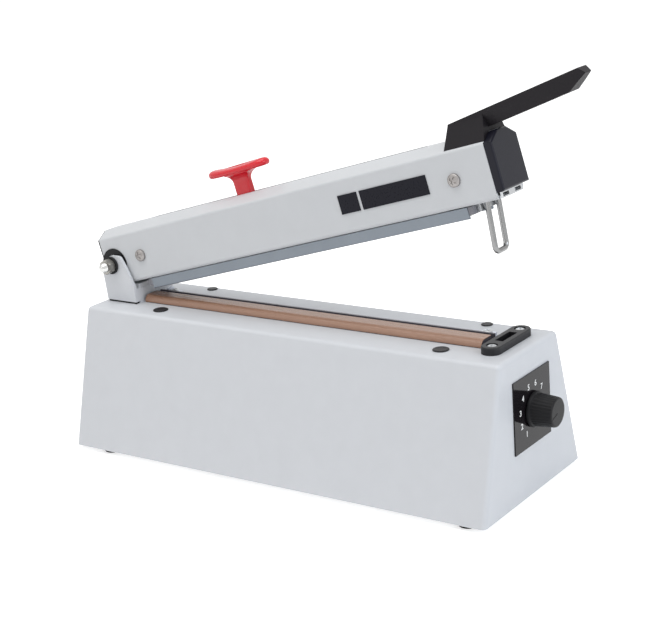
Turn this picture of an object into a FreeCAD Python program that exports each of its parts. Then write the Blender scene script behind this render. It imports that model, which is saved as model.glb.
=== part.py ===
import FreeCAD, Part
import os
import re

import Sketcher

# Impulse heat sealer with a sliding cutter, in millimetres.
# +X runs along the machine towards the timer dial, -Y is the front, +Z is up.
# The origin lies on the table, below the middle of the whole machine's bounding box.
# Base pieces are drawn from the middle of the base, with heights from the table.
# Arm pieces are drawn from the hinge axis, along the arm (X) and square to it (Z), as if it were closed.

DIMENSIONS = {
    # Base case
    "base_center_x": -17.2,
    "foot_height": 3,
    "base_length": 300,
    "base_width": 115,
    "top_width": 67.5,
    "top_z": 89,
    "case_sheet": 1.5,
    "case_wall_run": 1.56,
    "case_corner": 3,
    "ledge_low": 4.7,
    "ledge_high": 6.2,
    "ledge_opening_length": 272,
    "ledge_opening_width": 88,
    # Floor of the case and its feet
    "floor_length": 296,
    "floor_width": 110,
    "floor_low": 3.2,
    "floor_high": 4.6,
    "floor_screw_x": 142,
    "floor_screw_y": 25,
    "foot_left_x": -125.9,
    "foot_right_x": 134.8,
    "foot_y": 48.3,
    "foot_radius": 6.8,
    "foot_taper": 0.8,
    "foot_stem_radius": 2.6,
    "foot_stem_top": 7,
    # Hinge
    "pivot_x": -139,
    "pivot_z": 113.3,
    "arm_angle": 15.15,
    "gasket_height": 1.2,
    "bracket_sheet": 2,
    "ear_outer": 18,
    "ear_left_x": -147.6,
    "ear_left_foot_x": -145.4,
    "ear_right_x": -121.4,
    "ear_crest_left_x": -139.8,
    "ear_crest_right_x": -131.8,
    "ear_crest_z": 119.5,
    "ear_shoulder_left_z": 111,
    "ear_shoulder_right_x": -127.7,
    "ear_shoulder_right_z": 112.8,
    "ear_waist_x": -122,
    "ear_waist_z": 100.8,
    "web_z": 98.5,
    "tongue_x": -122.1,
    "tongue_back_x": -131.5,
    "tongue_half": 12.8,
    "tongue_z": 101.2,
    "bracket_screw_x": -136,
    "bracket_screw_y": 8,
    "pin_radius": 3,
    "pin_reach": 28.4,
    "pin_dome": 1.6,
    "pin_clearance": 0.05,
    "washer_radius": 5.7,
    "washer_height": 1.6,
    "nut_radius": 5,
    "nut_height": 5,
    "spring_inner": 4.6,
    "spring_outer": 6.8,
    "spring_half": 9,
    "spring_leg_radius": 1,
    # Seal rail
    "rail_left_x": -119.6,
    "rail_right_x": 126,
    "rail_front_y": -11,
    "rail_land_y": 0.2,
    "rail_groove_y": 3.6,
    "rail_back_y": 5,
    "rail_rise": 4.2,
    "rail_drop": 9,
    "groove_drop": 7,
    "rail_flange_front_y": -15,
    "rail_flange_back_y": 6.8,
    "rail_flange_height": 2,
    "rail_round": 3.6,
    "window_gap": 0.5,
    "band_front_y": -6.5,
    "band_back_y": -3.5,
    "band_height": 0.2,
    "cloth": 0.3,
    "clamp_left_x": -111.5,
    "clamp_right_x": 119,
    "clamp_length": 9,
    "clamp_front_y": 6,
    "clamp_width": 5.4,
    "clamp_height": 2.6,
    "clamp_tab_z": 93.7,
    "clamp_tab_sheet": 1.6,
    # Top fittings
    "plug_front_left_x": -97.7,
    "plug_front_right_x": 106.4,
    "plug_front_y": -22,
    "plug_front_radius": 4.85,
    "plug_front_shank": 4,
    "plug_back_left_x": -96.3,
    "plug_back_right_x": 107.6,
    "plug_back_y": 28.2,
    "plug_back_radius": 3.5,
    "plug_back_shank": 3,
    "plug_height": 0.8,
    "plug_edge": 0.4,
    "latch_x": 134.9,
    "guide_y": 1.2,
    "guide_half": 5.8,
    "guide_straight": 16.8,
    "guide_height": 4.4,
    "guide_slot_half": 2.5,
    "guide_slot_length": 17,
    "guide_screw_y": 16.2,
    "guide_flange_x": 126.4,
    "guide_flange_height": 2.2,
    "guide_flange_half": 11,
    "guide_edge": 0.7,
    # Timer on the right end
    "dial_y": 0.7,
    "dial_z": 53.3,
    "dial_plate_y": -0.4,
    "dial_plate_z": 53.8,
    "dial_side": 42.3,
    "dial_plate_height": 0.8,
    "dial_bush_radius": 3.5,
    "dial_bush_reach": 3.4,
    "dial_body_radius": 8,
    "dial_body_length": 10,
    "dial_nut_radius": 5.6,
    "dial_nut_height": 2,
    "shaft_radius": 3,
    "shaft_length": 24,
    "knob_gap": 0.5,
    "knob_flange_radius": 10.3,
    "knob_flange_height": 2.2,
    "knob_root_radius": 9.4,
    "knob_tip_radius": 8.5,
    "knob_length": 14.6,
    "knob_hollow_radius": 6.6,
    "knob_hollow_depth": 3.4,
    "knob_edge": 0.8,
    "pointer_start": 1,
    "pointer_end": 7,
    "pointer_half": 0.4,
    "pointer_depth": 0.5,
    "pointer_turn": 106,
    # Cord inlet on the left end
    "gland_y": 25,
    "gland_z": 28,
    "gland_bore": 3.5,
    "gland_radius": 6,
    "gland_flange_radius": 9,
    "gland_flange_height": 3,
    "gland_inner_reach": 10,
    "gland_catch_radius": 7.5,
    "gland_catch_height": 2.5,
    # Transformer
    "core_x": -40,
    "core_length": 60,
    "core_half": 17,
    "core_height": 50,
    "core_limb_half": 10,
    "core_yoke": 10,
    "coil_half_y": 28,
    "coil_gap": 0.3,
    "strap_sheet": 1.6,
    "strap_half": 11,
    "strap_foot": 10,
    # Timer board
    "board_left_x": 12,
    "board_length": 44,
    "board_half": 32,
    "board_low": 12.6,
    "board_sheet": 1.6,
    "standoff_radius": 3,
    "standoff_inset": 5,
    "relay_length": 20,
    "relay_width": 16,
    "relay_height": 16,
    "capacitor_radius": 6,
    "capacitor_height": 20,
    # Holding magnet
    "stand_x": 76,
    "stand_sheet": 3,
    "stand_front_y": -36,
    "stand_back_y": 16,
    "stand_top_z": 71,
    "stand_foot": 14,
    "shelf_reach": 137,
    "shelf_back_y": -15.5,
    "shelf_low": 57,
    "shelf_high": 59,
    "magnet_z": 58,
    "magnet_length": 32,
    "magnet_plate": 3,
    "magnet_half": 13,
    "magnet_coil_radius": 11.5,
    "armature_radius": 4,
    "armature_back_x": 84,
    "riser_x": 112.5,
    "riser_length": 4,
    "riser_half": 3,
    "bolt_z": 75.4,
    "bolt_radius": 2.4,
    "bolt_tip_x": 127.5,
    # Start switch
    "switch_x": 129,
    "switch_length": 7,
    "switch_front_y": -34,
    "switch_back_y": -17.2,
    "switch_top_z": 70.5,
    "lug_sheet": 1.4,
    "lug_back_y": -12.2,
    "lug_front_y": -20,
    "lug_low_z": 64,
    "lever_y": -14,
    "lever_z": 68.4,
    "lever_angle": 8,
    "lever_pin": 0.8,
    "lever_barrel": 1.7,
    "lever_half_sheet": 0.4,
    "lever_reach": 17,
    # Arm cover
    "arm_left": -8.2,
    "arm_right": 287.6,
    "arm_half": 14.5,
    "arm_sheet": 1.2,
    "arm_low": -14.2,
    "arm_fold": 17.1,
    "arm_top": 22,
    "arm_top_half": 5.7,
    "arm_fold_drop": 0.7,
    "arm_top_draw": 0.3,
    "arm_bend": 1.8,
    "arm_low_bend": 2.4,
    "lip_half": 8.5,
    "lip_start": 27,
    "lip_end": 254,
    "bush_flange_radius": 10,
    "bush_flange_height": 0.6,
    "bush_boss_height": 1.3,
    "bush_sleeve_radius": 5.4,
    "bush_hole_radius": 5.5,
    "bush_sleeve_length": 3,
    "arm_screw_left": 23.8,
    "arm_screw_right": 264.4,
    "arm_screw_rise": 1.6,
    "rear_cap_height": 1.1,
    "rear_cap_inset": 0.3,
    "rear_cap_low": -9,
    # Upper jaw
    "channel_left": 20.5,
    "channel_right": 268,
    "channel_half": 13.1,
    "channel_low": -11.6,
    "channel_high": 6,
    "bar_left": 25.6,
    "bar_right": 266.5,
    "bar_half": 13.4,
    "bar_top": -14.4,
    "bar_low": -21,
    "bar_sheet": 1.5,
    "bar_skirt": 1.2,
    "bar_edge": 0.9,
    "bar_rib_front": -11.6,
    "bar_rib_back": -0.4,
    "bar_rib_low": -17.6,
    "strip_low": -19.6,
    "strip_inset": 0.3,
    "bar_screw_y": -4,
    "bar_screw_first": 60,
    "bar_screw_step": 82,
    "bar_screw_deep": -16.5,
    "bar_screw_collar": 3.4,
    "clip_length": 3.2,
    "clip_half": 12.9,
    "clip_low": -18.8,
    "clip_high": -14.4,
    # Cutter
    "cutter_u": 108.2,
    "cutter_y": 1.7,
    "slot_start": 29.4,
    "slot_end": 243.6,
    "top_slot_half": 2.8,
    "blade_slot_half": 1.8,
    "rod_y": -5.5,
    "rod_rise": 3,
    "rod_radius": 3,
    "rod_left": 21.7,
    "rod_right": 266.4,
    "support_length": 4,
    "support_front_y": -11.7,
    "support_back_y": -0.8,
    "support_high": 8,
    "carriage_half": 8,
    "carriage_front_y": -10.5,
    "carriage_back_y": 6,
    "carriage_low": -2,
    "carriage_high": 7,
    "foot_stem_half_u": 4,
    "foot_stem_half_y": 1.6,
    "stem_gap": 0.2,
    "collar_half_u": 6.5,
    "collar_half_y": 3.5,
    "collar_low": 17,
    "collar_high": 20.5,
    "stem_half_u": 6,
    "stem_half_y": 2.4,
    "cap_low": 35.1,
    "cap_high": 41,
    "cap_half_length": 23,
    "cap_half_width": 7.5,
    "cap_edge": 1.2,
    "cap_dish_low": 39.2,
    "cap_dish_radius": 130,
    "flare_radius": 5.6,
    "return_spring_inner": 4.6,
    "return_spring_outer": 5.8,
    "blade_half_width": 3.5,
    "blade_half_sheet": 0.3,
    "blade_low": -19,
    "blade_high": 6,
    "blade_fit": 0.02,
    # Right end of the arm
    "end_cap_height": 5,
    "end_cap_low": -10.2,
    "end_cap_drop": 0.1,
    "end_cap_edge": 1.3,
    "spigot_depth": 12,
    "spigot_half": 12.9,
    "spigot_low": -9,
    "spigot_high": 14,
    "spigot_wall": 2,
    "anchor_left": 256,
    "anchor_right": 290,
    "anchor_half": 12.8,
    "anchor_low": -13.7,
    "anchor_high": -12.2,
    "anchor_flange_high": -10.4,
    "anchor_sheet": 1.4,
    "anchor_flange_back": 9.6,
    "anchor_slot_front": -12.2,
    "anchor_slot_middle": 0.9,
    "anchor_slot_length": 6.4,
    "anchor_slot_low": -12.9,
    "anchor_slot_high": -11,
    "anchor_block_left": 269.8,
    "anchor_block_right": 272.4,
    "anchor_block_low": -18.2,
    "anchor_block_half": 9,
    "loop_u": 274.9,
    "loop_y": 1.2,
    "loop_origin": -12,
    "loop_tilt": 6.2,
    "loop_wire": 1.6,
    "loop_half": 6.1,
    "loop_bend": 3.2,
    "loop_drop": 30.75,
    "loop_top": 0.3,
    "loop_hole": 2,
    # Handle
    "handle_half": 13.2,
    "saddle_left": 262,
    "saddle_right": 288,
    "saddle_low": 17.4,
    "saddle_crest": 265.6,
    "saddle_crest_rise": 31,
    "saddle_gap": 0.05,
    "saddle_clear": 293,
    "grip_half": 8,
    "grip_root_rise": 24.3,
    "grip_heel": 338.8,
    "grip_heel_rise": 30.9,
    "grip_nose": 349.2,
    "grip_nose_rise": 38.3,
    "grip_nose_half": 3.4,
    "grip_crest": 346.3,
    "grip_crest_rise": 41.7,
    "grip_bevel": 338.8,
    "grip_bevel_half": 5.4,
    "grip_hollow_left": 294,
    "grip_hollow_right": 330,
    "grip_hollow_half": 3.9,
    "grip_hollow_rise_left": 31,
    "grip_hollow_rise_right": 36.4,
    "notch_end": 306,
    "notch_half": 4.5,
    "notch_rise": 29,
    "handle_screw_first": 272,
    "handle_screw_second": 282,
    "handle_screw_length": 7.6,
    # Plain plates on the arm's front
    "plate_sheet": 0.5,
    "plate_low": -2.7,
    "plate_high": 8.3,
    "small_plate_left": 185.9,
    "small_plate_right": 199.3,
    "long_plate_left": 201.4,
    "long_plate_right": 247.1,
    # Fasteners
    "pan_head": 3.8,
    "pan_head_height": 2.2,
    "pan_shank": 1.5,
    "pan_shank_length": 6,
    "small_head": 2.8,
    "small_head_height": 1.6,
    "small_shank": 1.4,
    "small_shank_length": 4,
    "bolt_head": 3.2,
    "bolt_head_height": 2,
    "bolt_shank": 1.9,
    "screw_gap": 0.15,
    "head_edge": 0.7,
    "overrun": 2,
}

AXIS_TURNS = {
    "+X": FreeCAD.Rotation(FreeCAD.Vector(0, 1, 0), 90),
    "-X": FreeCAD.Rotation(FreeCAD.Vector(0, 1, 0), -90),
    "+Y": FreeCAD.Rotation(FreeCAD.Vector(1, 0, 0), -90),
    "-Y": FreeCAD.Rotation(FreeCAD.Vector(1, 0, 0), 90),
    "+Z": FreeCAD.Rotation(),
    "-Z": FreeCAD.Rotation(FreeCAD.Vector(1, 0, 0), 180),
}

os.makedirs("parts", exist_ok=True)
doc = FreeCAD.newDocument("impulse_heat_sealer")
sheet = doc.addObject("Spreadsheet::Sheet", "dims")
for row, (alias, size) in enumerate(DIMENSIONS.items(), start=1):
    sheet.set(f"A{row}", alias)
    sheet.set(f"B{row}", str(size))
    sheet.setAlias(f"B{row}", alias)
doc.recompute()

nodes = []


def bind(item, field, rule):
    """Tie a field of an object to a rule written with the sheet's names."""
    words = r"\b(" + "|".join(DIMENSIONS) + r")\b"
    item.setExpression(field, re.sub(words, r"dims.\1", rule))


def place(item, spot=("0", "0", "0"), turn=None):
    """Turn an object, then tie its place to three rules."""
    item.Placement = FreeCAD.Placement(FreeCAD.Vector(), turn or FreeCAD.Rotation())
    for letter, rule in zip("xyz", spot):
        bind(item, f"Placement.Base.{letter}", rule)
    return item


def block(low, high):
    """Box between two corners."""
    item = doc.addObject("Part::Box", "block")
    for field, start, end in zip(("Length", "Width", "Height"), low, high):
        bind(item, field, f"({end}) - ({start})")
    return place(item, low)


def rod(radius, length, start, axis):
    """Cylinder from a start point along an axis."""
    item = doc.addObject("Part::Cylinder", "rod")
    bind(item, "Radius", radius)
    bind(item, "Height", length)
    return place(item, start, AXIS_TURNS[axis])


def cone(first, second, length, start, axis):
    """Tapered rod from a start point along an axis."""
    item = doc.addObject("Part::Cone", "cone")
    bind(item, "Radius1", first)
    bind(item, "Radius2", second)
    bind(item, "Height", length)
    return place(item, start, AXIS_TURNS[axis])


def hexagon(radius, length, start, axis):
    """Six-sided bar from a start point along an axis."""
    item = doc.addObject("Part::Prism", "hexagon")
    item.Polygon = 6
    bind(item, "Circumradius", radius)
    bind(item, "Height", length)
    return place(item, start, AXIS_TURNS[axis])


def join(*items):
    """One solid from several touching ones."""
    if len(items) == 1:
        return items[0]
    item = doc.addObject("Part::MultiFuse", "joined")
    item.Shapes = list(items)
    item.Refine = True
    return item


def cut(base, *tools):
    """A solid with others taken out of it."""
    item = doc.addObject("Part::Cut", "cut")
    item.Base = base
    item.Tool = join(*tools)
    item.Refine = True
    return item


def group(*items):
    """Separate solids that are handled as one node."""
    item = doc.addObject("Part::Compound", "group")
    item.Links = list(items)
    return item


def rounded(item, radius, chosen):
    """Round the edges of a solid that a test picks."""
    doc.recompute()
    edges = [k for k, edge in enumerate(item.Shape.Edges, start=1) if chosen(edge)]
    soft = doc.addObject("Part::Fillet", "rounded")
    soft.Base = item
    soft.Edges = [(k, DIMENSIONS[radius], DIMENSIONS[radius]) for k in edges]
    return soft


def screw(spot, axis, head, shank_length):
    """Screw whose rounded head points along an axis, seated at a spot."""
    lower = rod(f"{head}_shank", shank_length, ("0", "0", f"-({shank_length})"), "+Z")
    upper = rod(f"{head}_head", f"{head}_head_height", ("0", "0", "0"), "+Z")
    crown = DIMENSIONS[f"{head}_head_height"] / 2
    upper = rounded(upper, "head_edge", lambda edge: edge.BoundBox.ZMin > crown)
    return place(join(upper, lower), spot, AXIS_TURNS[axis])


def origin_plane(body, role):
    return next(item for item in body.Origin.OriginFeatures if item.Role == role)


def drawing(body, role, loops, lift="0"):
    """Sketch on a plane of the body: a loop is a list of corners, or a circle as (x, y, radius)."""
    sketch = body.newObject("Sketcher::SketchObject", "sketch")
    sketch.AttachmentSupport = [(origin_plane(body, role), "")]
    sketch.MapMode = "FlatFace"
    bind(sketch, "AttachmentOffset.Base.z", lift)

    def fix(kind, index, end, start, rule):
        number = sketch.addConstraint(Sketcher.Constraint(kind, -1, 1, index, end, start))
        bind(sketch, f"Constraints[{number}]", rule)

    for loop in loops:
        first = sketch.GeometryCount
        if isinstance(loop, tuple):
            across, along, radius = loop
            sketch.addGeometry(Part.Circle(FreeCAD.Vector(1, 1, 0), FreeCAD.Vector(0, 0, 1), 1), False)
            fix("DistanceX", first, 3, 1, across)
            fix("DistanceY", first, 3, 1, along)
            number = sketch.addConstraint(Sketcher.Constraint("Radius", first, 1))
            bind(sketch, f"Constraints[{number}]", radius)
            continue
        count = len(loop)
        spots = [FreeCAD.Vector(k, k * k, 0) for k in range(count)]
        for k in range(count):
            sketch.addGeometry(Part.LineSegment(spots[k], spots[(k + 1) % count]), False)
        for k in range(count):
            sketch.addConstraint(Sketcher.Constraint("Coincident", first + k, 2, first + (k + 1) % count, 1))
        for k, (across, along) in enumerate(loop):
            fix("DistanceX", first + k, 1, spots[k].x, across)
            fix("DistanceY", first + k, 1, spots[k].y, along)
    return sketch


def feature(kind, body, sketch, length, sides="One side", reverse=False):
    """Pad or pocket from a sketch."""
    item = body.newObject(f"PartDesign::{kind}", kind.lower())
    item.Profile = sketch
    bind(item, "Length", length)
    item.SideType = sides
    item.Reversed = reverse
    return item


def pad(body, role, loops, length, lift="0", sides="One side", reverse=False):
    return feature("Pad", body, drawing(body, role, loops, lift), length, sides, reverse)


def pocket(body, role, loops, length, lift="0", sides="One side", reverse=False):
    return feature("Pocket", body, drawing(body, role, loops, lift), length, sides, reverse)


def soften(body, radius, chosen):
    """Round the edges of a body's last feature that a test picks."""
    doc.recompute()
    base = body.Tip
    edges = [f"Edge{k}" for k, edge in enumerate(base.Shape.Edges, start=1) if chosen(edge)]
    item = body.newObject("PartDesign::Fillet", "fillet")
    item.Base = (base, edges)
    bind(item, "Radius", radius)
    return item


def new_body():
    return doc.addObject("PartDesign::Body", "body")


def rectangle(left, right, low, high):
    return [(left, low), (right, low), (right, high), (left, high)]


def is_along_x(edge):
    box = edge.BoundBox
    return box.XLength > max(box.YLength, box.ZLength) * 2


def node(label, item, spot, turn):
    """Name a piece and put its drawing frame where it belongs."""
    if item.TypeId in ("Part::Box", "Part::Cylinder", "Part::Cone", "Part::Prism"):
        item = group(item)
    item.Label = label
    place(item, spot, turn)
    nodes.append(item)
    return item


def base_node(label, item):
    node(label, item, ("base_center_x", "0", "0"), None)


def arm_node(label, item):
    tilt = FreeCAD.Rotation(FreeCAD.Vector(0, 1, 0), 1)
    item = node(label, item, ("base_center_x + pivot_x", "0", "pivot_z"), tilt)
    bind(item, "Placement.Rotation.Angle", "-arm_angle")


def case_half(height):
    """Half width of the sloping case at a height."""
    return f"(base_width/2 - ({height} - foot_height)*(base_width - top_width)/2/(top_z - foot_height))"


# Base case: one folded and welded sheet, open below, with a ledge for the floor plate.

def build_base_housing():
    body = new_body()
    ends = "base_length/2"
    pad(body, "YZ_Plane", [[
        (f"-{case_half('foot_height')}", "foot_height"),
        (case_half("foot_height"), "foot_height"),
        (case_half("top_z"), "top_z"),
        (f"-{case_half('top_z')}", "top_z"),
    ]], "base_length", sides="Symmetric")
    bottom = DIMENSIONS["foot_height"] + 1
    soften(body, "case_corner", lambda edge: edge.BoundBox.ZMax > bottom)
    roof = "(top_z - case_sheet)"
    pocket(body, "YZ_Plane", [[
        (f"-({case_half('ledge_high')} - case_wall_run)", "ledge_high"),
        (f"{case_half('ledge_high')} - case_wall_run", "ledge_high"),
        (f"{case_half(roof)} - case_wall_run", roof),
        (f"-({case_half(roof)} - case_wall_run)", roof),
    ]], "base_length - 2*case_sheet", sides="Symmetric")
    recess = f"({case_half('ledge_low')} - case_wall_run)"
    inside = f"({ends} - case_sheet)"
    pocket(body, "XY_Plane", [rectangle(f"-{inside}", inside, f"-{recess}", recess)],
           "ledge_low - foot_height", lift="foot_height", reverse=True)
    half_length = "ledge_opening_length/2"
    half_width = "ledge_opening_width/2"
    pocket(body, "XY_Plane", [rectangle(f"-{half_length}", half_length, f"-{half_width}", half_width)],
           "ledge_high - foot_height", lift="foot_height", reverse=True)
    holes = [rectangle("rail_left_x - window_gap", "rail_right_x + window_gap",
                       "rail_front_y - window_gap", "rail_back_y + window_gap")]
    slot_x = "(guide_slot_half + window_gap)"
    slot_y = "(guide_slot_length/2 + window_gap)"
    holes.append(rectangle(f"latch_x - {slot_x}", f"latch_x + {slot_x}",
                           f"guide_y - {slot_y}", f"guide_y + {slot_y}"))
    for row in ("front", "back"):
        for side in ("left", "right"):
            holes.append((f"plug_{row}_{side}_x", f"plug_{row}_y", f"plug_{row}_shank + screw_gap"))
    for y in ("guide_y - guide_screw_y", "guide_y + guide_screw_y"):
        holes.append(("latch_x", y, "small_shank + screw_gap"))
    for y in ("-bracket_screw_y", "bracket_screw_y"):
        holes.append(("bracket_screw_x", y, "pan_shank + screw_gap"))
    for x in ("clamp_left_x", "clamp_right_x"):
        holes.append((x, "clamp_front_y + clamp_width/2", "small_shank + screw_gap"))
    pocket(body, "XY_Plane", holes, "case_sheet + overrun", lift="top_z")
    pocket(body, "YZ_Plane", [("dial_y", "dial_z", "dial_bush_radius + screw_gap")],
           "case_sheet + overrun", lift=ends)
    pocket(body, "YZ_Plane", [("gland_y", "gland_z", "gland_radius + screw_gap")],
           "case_sheet + overrun", lift=f"-{ends}", reverse=True)
    pocket(body, "XY_Plane", floor_holes(), "ledge_high - foot_height", lift="foot_height", reverse=True)
    base_node("base_housing", body)


def floor_screw_spots():
    return [(f"{a}floor_screw_x", f"{b}floor_screw_y") for a in ("-", "") for b in ("-", "")]


def foot_spots():
    return [(x, f"{side}foot_y") for x in ("foot_left_x", "foot_right_x") for side in ("-", "")]


def floor_holes():
    """Holes for the floor's screws and the feet's stems, in the floor plate and the ledge above it."""
    holes = [(x, y, "small_shank + screw_gap") for x, y in floor_screw_spots()]
    return holes + [(x, y, "foot_stem_radius + screw_gap") for x, y in foot_spots()]


# Floor plate, its screws and the push-in rubber feet.

def build_floor():
    body = new_body()
    pad(body, "XY_Plane", [rectangle("-floor_length/2", "floor_length/2", "-floor_width/2", "floor_width/2")],
        "floor_high - floor_low", lift="floor_low")
    pocket(body, "XY_Plane", floor_holes(), "floor_high - floor_low", lift="floor_high")
    base_node("bottom_plate", body)
    screws = [screw((x, y, "floor_low"), "-Z", "small", "small_shank_length") for x, y in floor_screw_spots()]
    base_node("bottom_plate_screws", group(*screws))
    feet = []
    for x, y in foot_spots():
        pad_part = cone("foot_radius - foot_taper", "foot_radius", "floor_low", (x, y, "0"), "+Z")
        stem = rod("foot_stem_radius", "foot_stem_top", (x, y, "0"), "+Z")
        feet.append(join(pad_part, stem))
    base_node("rubber_feet", group(*feet))


# Hinge: gasket, folded bracket with two ears, pivot bolt with washers and nuts, lifting spring.

def build_hinge():
    foot_z = "(top_z + gasket_height)"
    floor_z = "(top_z + gasket_height + bracket_sheet)"
    inner = "(ear_outer - bracket_sheet)"
    inside = "(ear_right_x - bracket_sheet)"
    gasket = new_body()
    corners = [
        ("ear_left_foot_x + window_gap", "ear_outer - window_gap"),
        ("ear_right_x - window_gap", "ear_outer - window_gap"),
        ("ear_right_x - window_gap", f"{inner} - bracket_sheet + window_gap"),
        (f"{inside} - window_gap", f"{inner} - bracket_sheet + window_gap"),
    ]
    corners += [(x, f"-({y})") for x, y in corners[::-1]]
    pad(gasket, "XY_Plane", [corners], "gasket_height", lift="top_z")
    spots = [("bracket_screw_x", f"{side}bracket_screw_y", "pan_shank + screw_gap") for side in ("-", "")]
    pocket(gasket, "XY_Plane", spots, "gasket_height", lift=foot_z)
    base_node("bracket_gasket", gasket)

    bracket = new_body()
    pad(bracket, "XZ_Plane", [[
        ("ear_left_foot_x", foot_z),
        ("ear_right_x", foot_z),
        ("ear_waist_x", "ear_waist_z"),
        ("ear_shoulder_right_x", "ear_shoulder_right_z"),
        ("ear_crest_right_x", "ear_crest_z"),
        ("ear_crest_left_x", "ear_crest_z"),
        ("ear_left_x", "ear_shoulder_left_z"),
    ]], "2*ear_outer", sides="Symmetric")
    high = DIMENSIONS["ear_shoulder_right_z"] - 1
    soften(bracket, "case_corner", lambda edge: edge.BoundBox.ZMin > high and edge.BoundBox.YLength > 10)
    pocket(bracket, "XZ_Plane", [[
        ("ear_left_x - overrun", floor_z),
        (inside, floor_z),
        ("ear_waist_x - bracket_sheet", "web_z"),
        ("ear_right_x + overrun", "web_z"),
        ("ear_right_x + overrun", "ear_crest_z + overrun"),
        ("ear_left_x - overrun", "ear_crest_z + overrun"),
    ]], f"2*{inner}", sides="Symmetric")
    pad(bracket, "XZ_Plane", [[
        ("tongue_x - bracket_sheet", floor_z),
        ("tongue_x", floor_z),
        ("tongue_x", "tongue_z"),
        ("tongue_back_x", "tongue_z"),
        ("tongue_back_x", "tongue_z - bracket_sheet"),
        ("tongue_x - bracket_sheet", "tongue_z - bracket_sheet"),
    ]], "2*tongue_half", sides="Symmetric")
    pad(bracket, "XZ_Plane", [rectangle(inside, "ear_right_x", "top_z", foot_z)],
        f"2*({inner} - bracket_sheet)", sides="Symmetric")
    pocket(bracket, "XZ_Plane", [("pivot_x", "pivot_z", "pin_radius")], "3*ear_outer", sides="Symmetric")
    pocket(bracket, "XY_Plane", spots, "bracket_sheet", lift=floor_z)
    base_node("hinge_bracket", bracket)
    length = "case_sheet + gasket_height + bracket_sheet + overrun"
    screws = [screw(("bracket_screw_x", f"{side}bracket_screw_y", floor_z), "+Z", "pan", length)
              for side in ("-", "")]
    base_node("bracket_screws", group(*screws))

    axle = rod("pin_radius", "2*pin_reach", ("pivot_x", "-pin_reach", "pivot_z"), "+Y")
    reach = DIMENSIONS["pin_reach"] - 1
    axle = rounded(axle, "pin_dome", lambda edge: abs(edge.CenterOfMass.y) > reach)
    base_node("hinge_pin", axle)
    washers = []
    nuts = []
    for axis, side in (("-Y", "-"), ("+Y", "")):
        disc = rod("washer_radius", "washer_height", ("pivot_x", f"{side}ear_outer", "pivot_z"), axis)
        hole = rod("pin_radius", "washer_height", ("pivot_x", f"{side}ear_outer", "pivot_z"), axis)
        washers.append(cut(disc, hole))
        seat = f"{side}(ear_outer + washer_height)"
        stock = hexagon("nut_radius", "nut_height", ("pivot_x", seat, "pivot_z"), axis)
        bore = rod("pin_radius", "nut_height", ("pivot_x", seat, "pivot_z"), axis)
        nuts.append(cut(stock, bore))
    base_node("hinge_washers", group(*washers))
    base_node("hinge_nuts", group(*nuts))
    start = ("pivot_x", "-spring_half", "pivot_z")
    turns = rod("spring_outer", "2*spring_half", start, "+Y")
    coil = cut(turns, rod("spring_inner", "2*spring_half", start, "+Y"))
    leg_x = "pivot_x + (spring_inner + spring_outer)/2"
    leg = rod("spring_leg_radius", f"pivot_z - {floor_z}", (leg_x, "0", floor_z), "+Z")
    base_node("opening_spring", join(coil, leg))


# Seal rail with its knife groove, the heating band on it, and the cloth that covers both.

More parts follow.
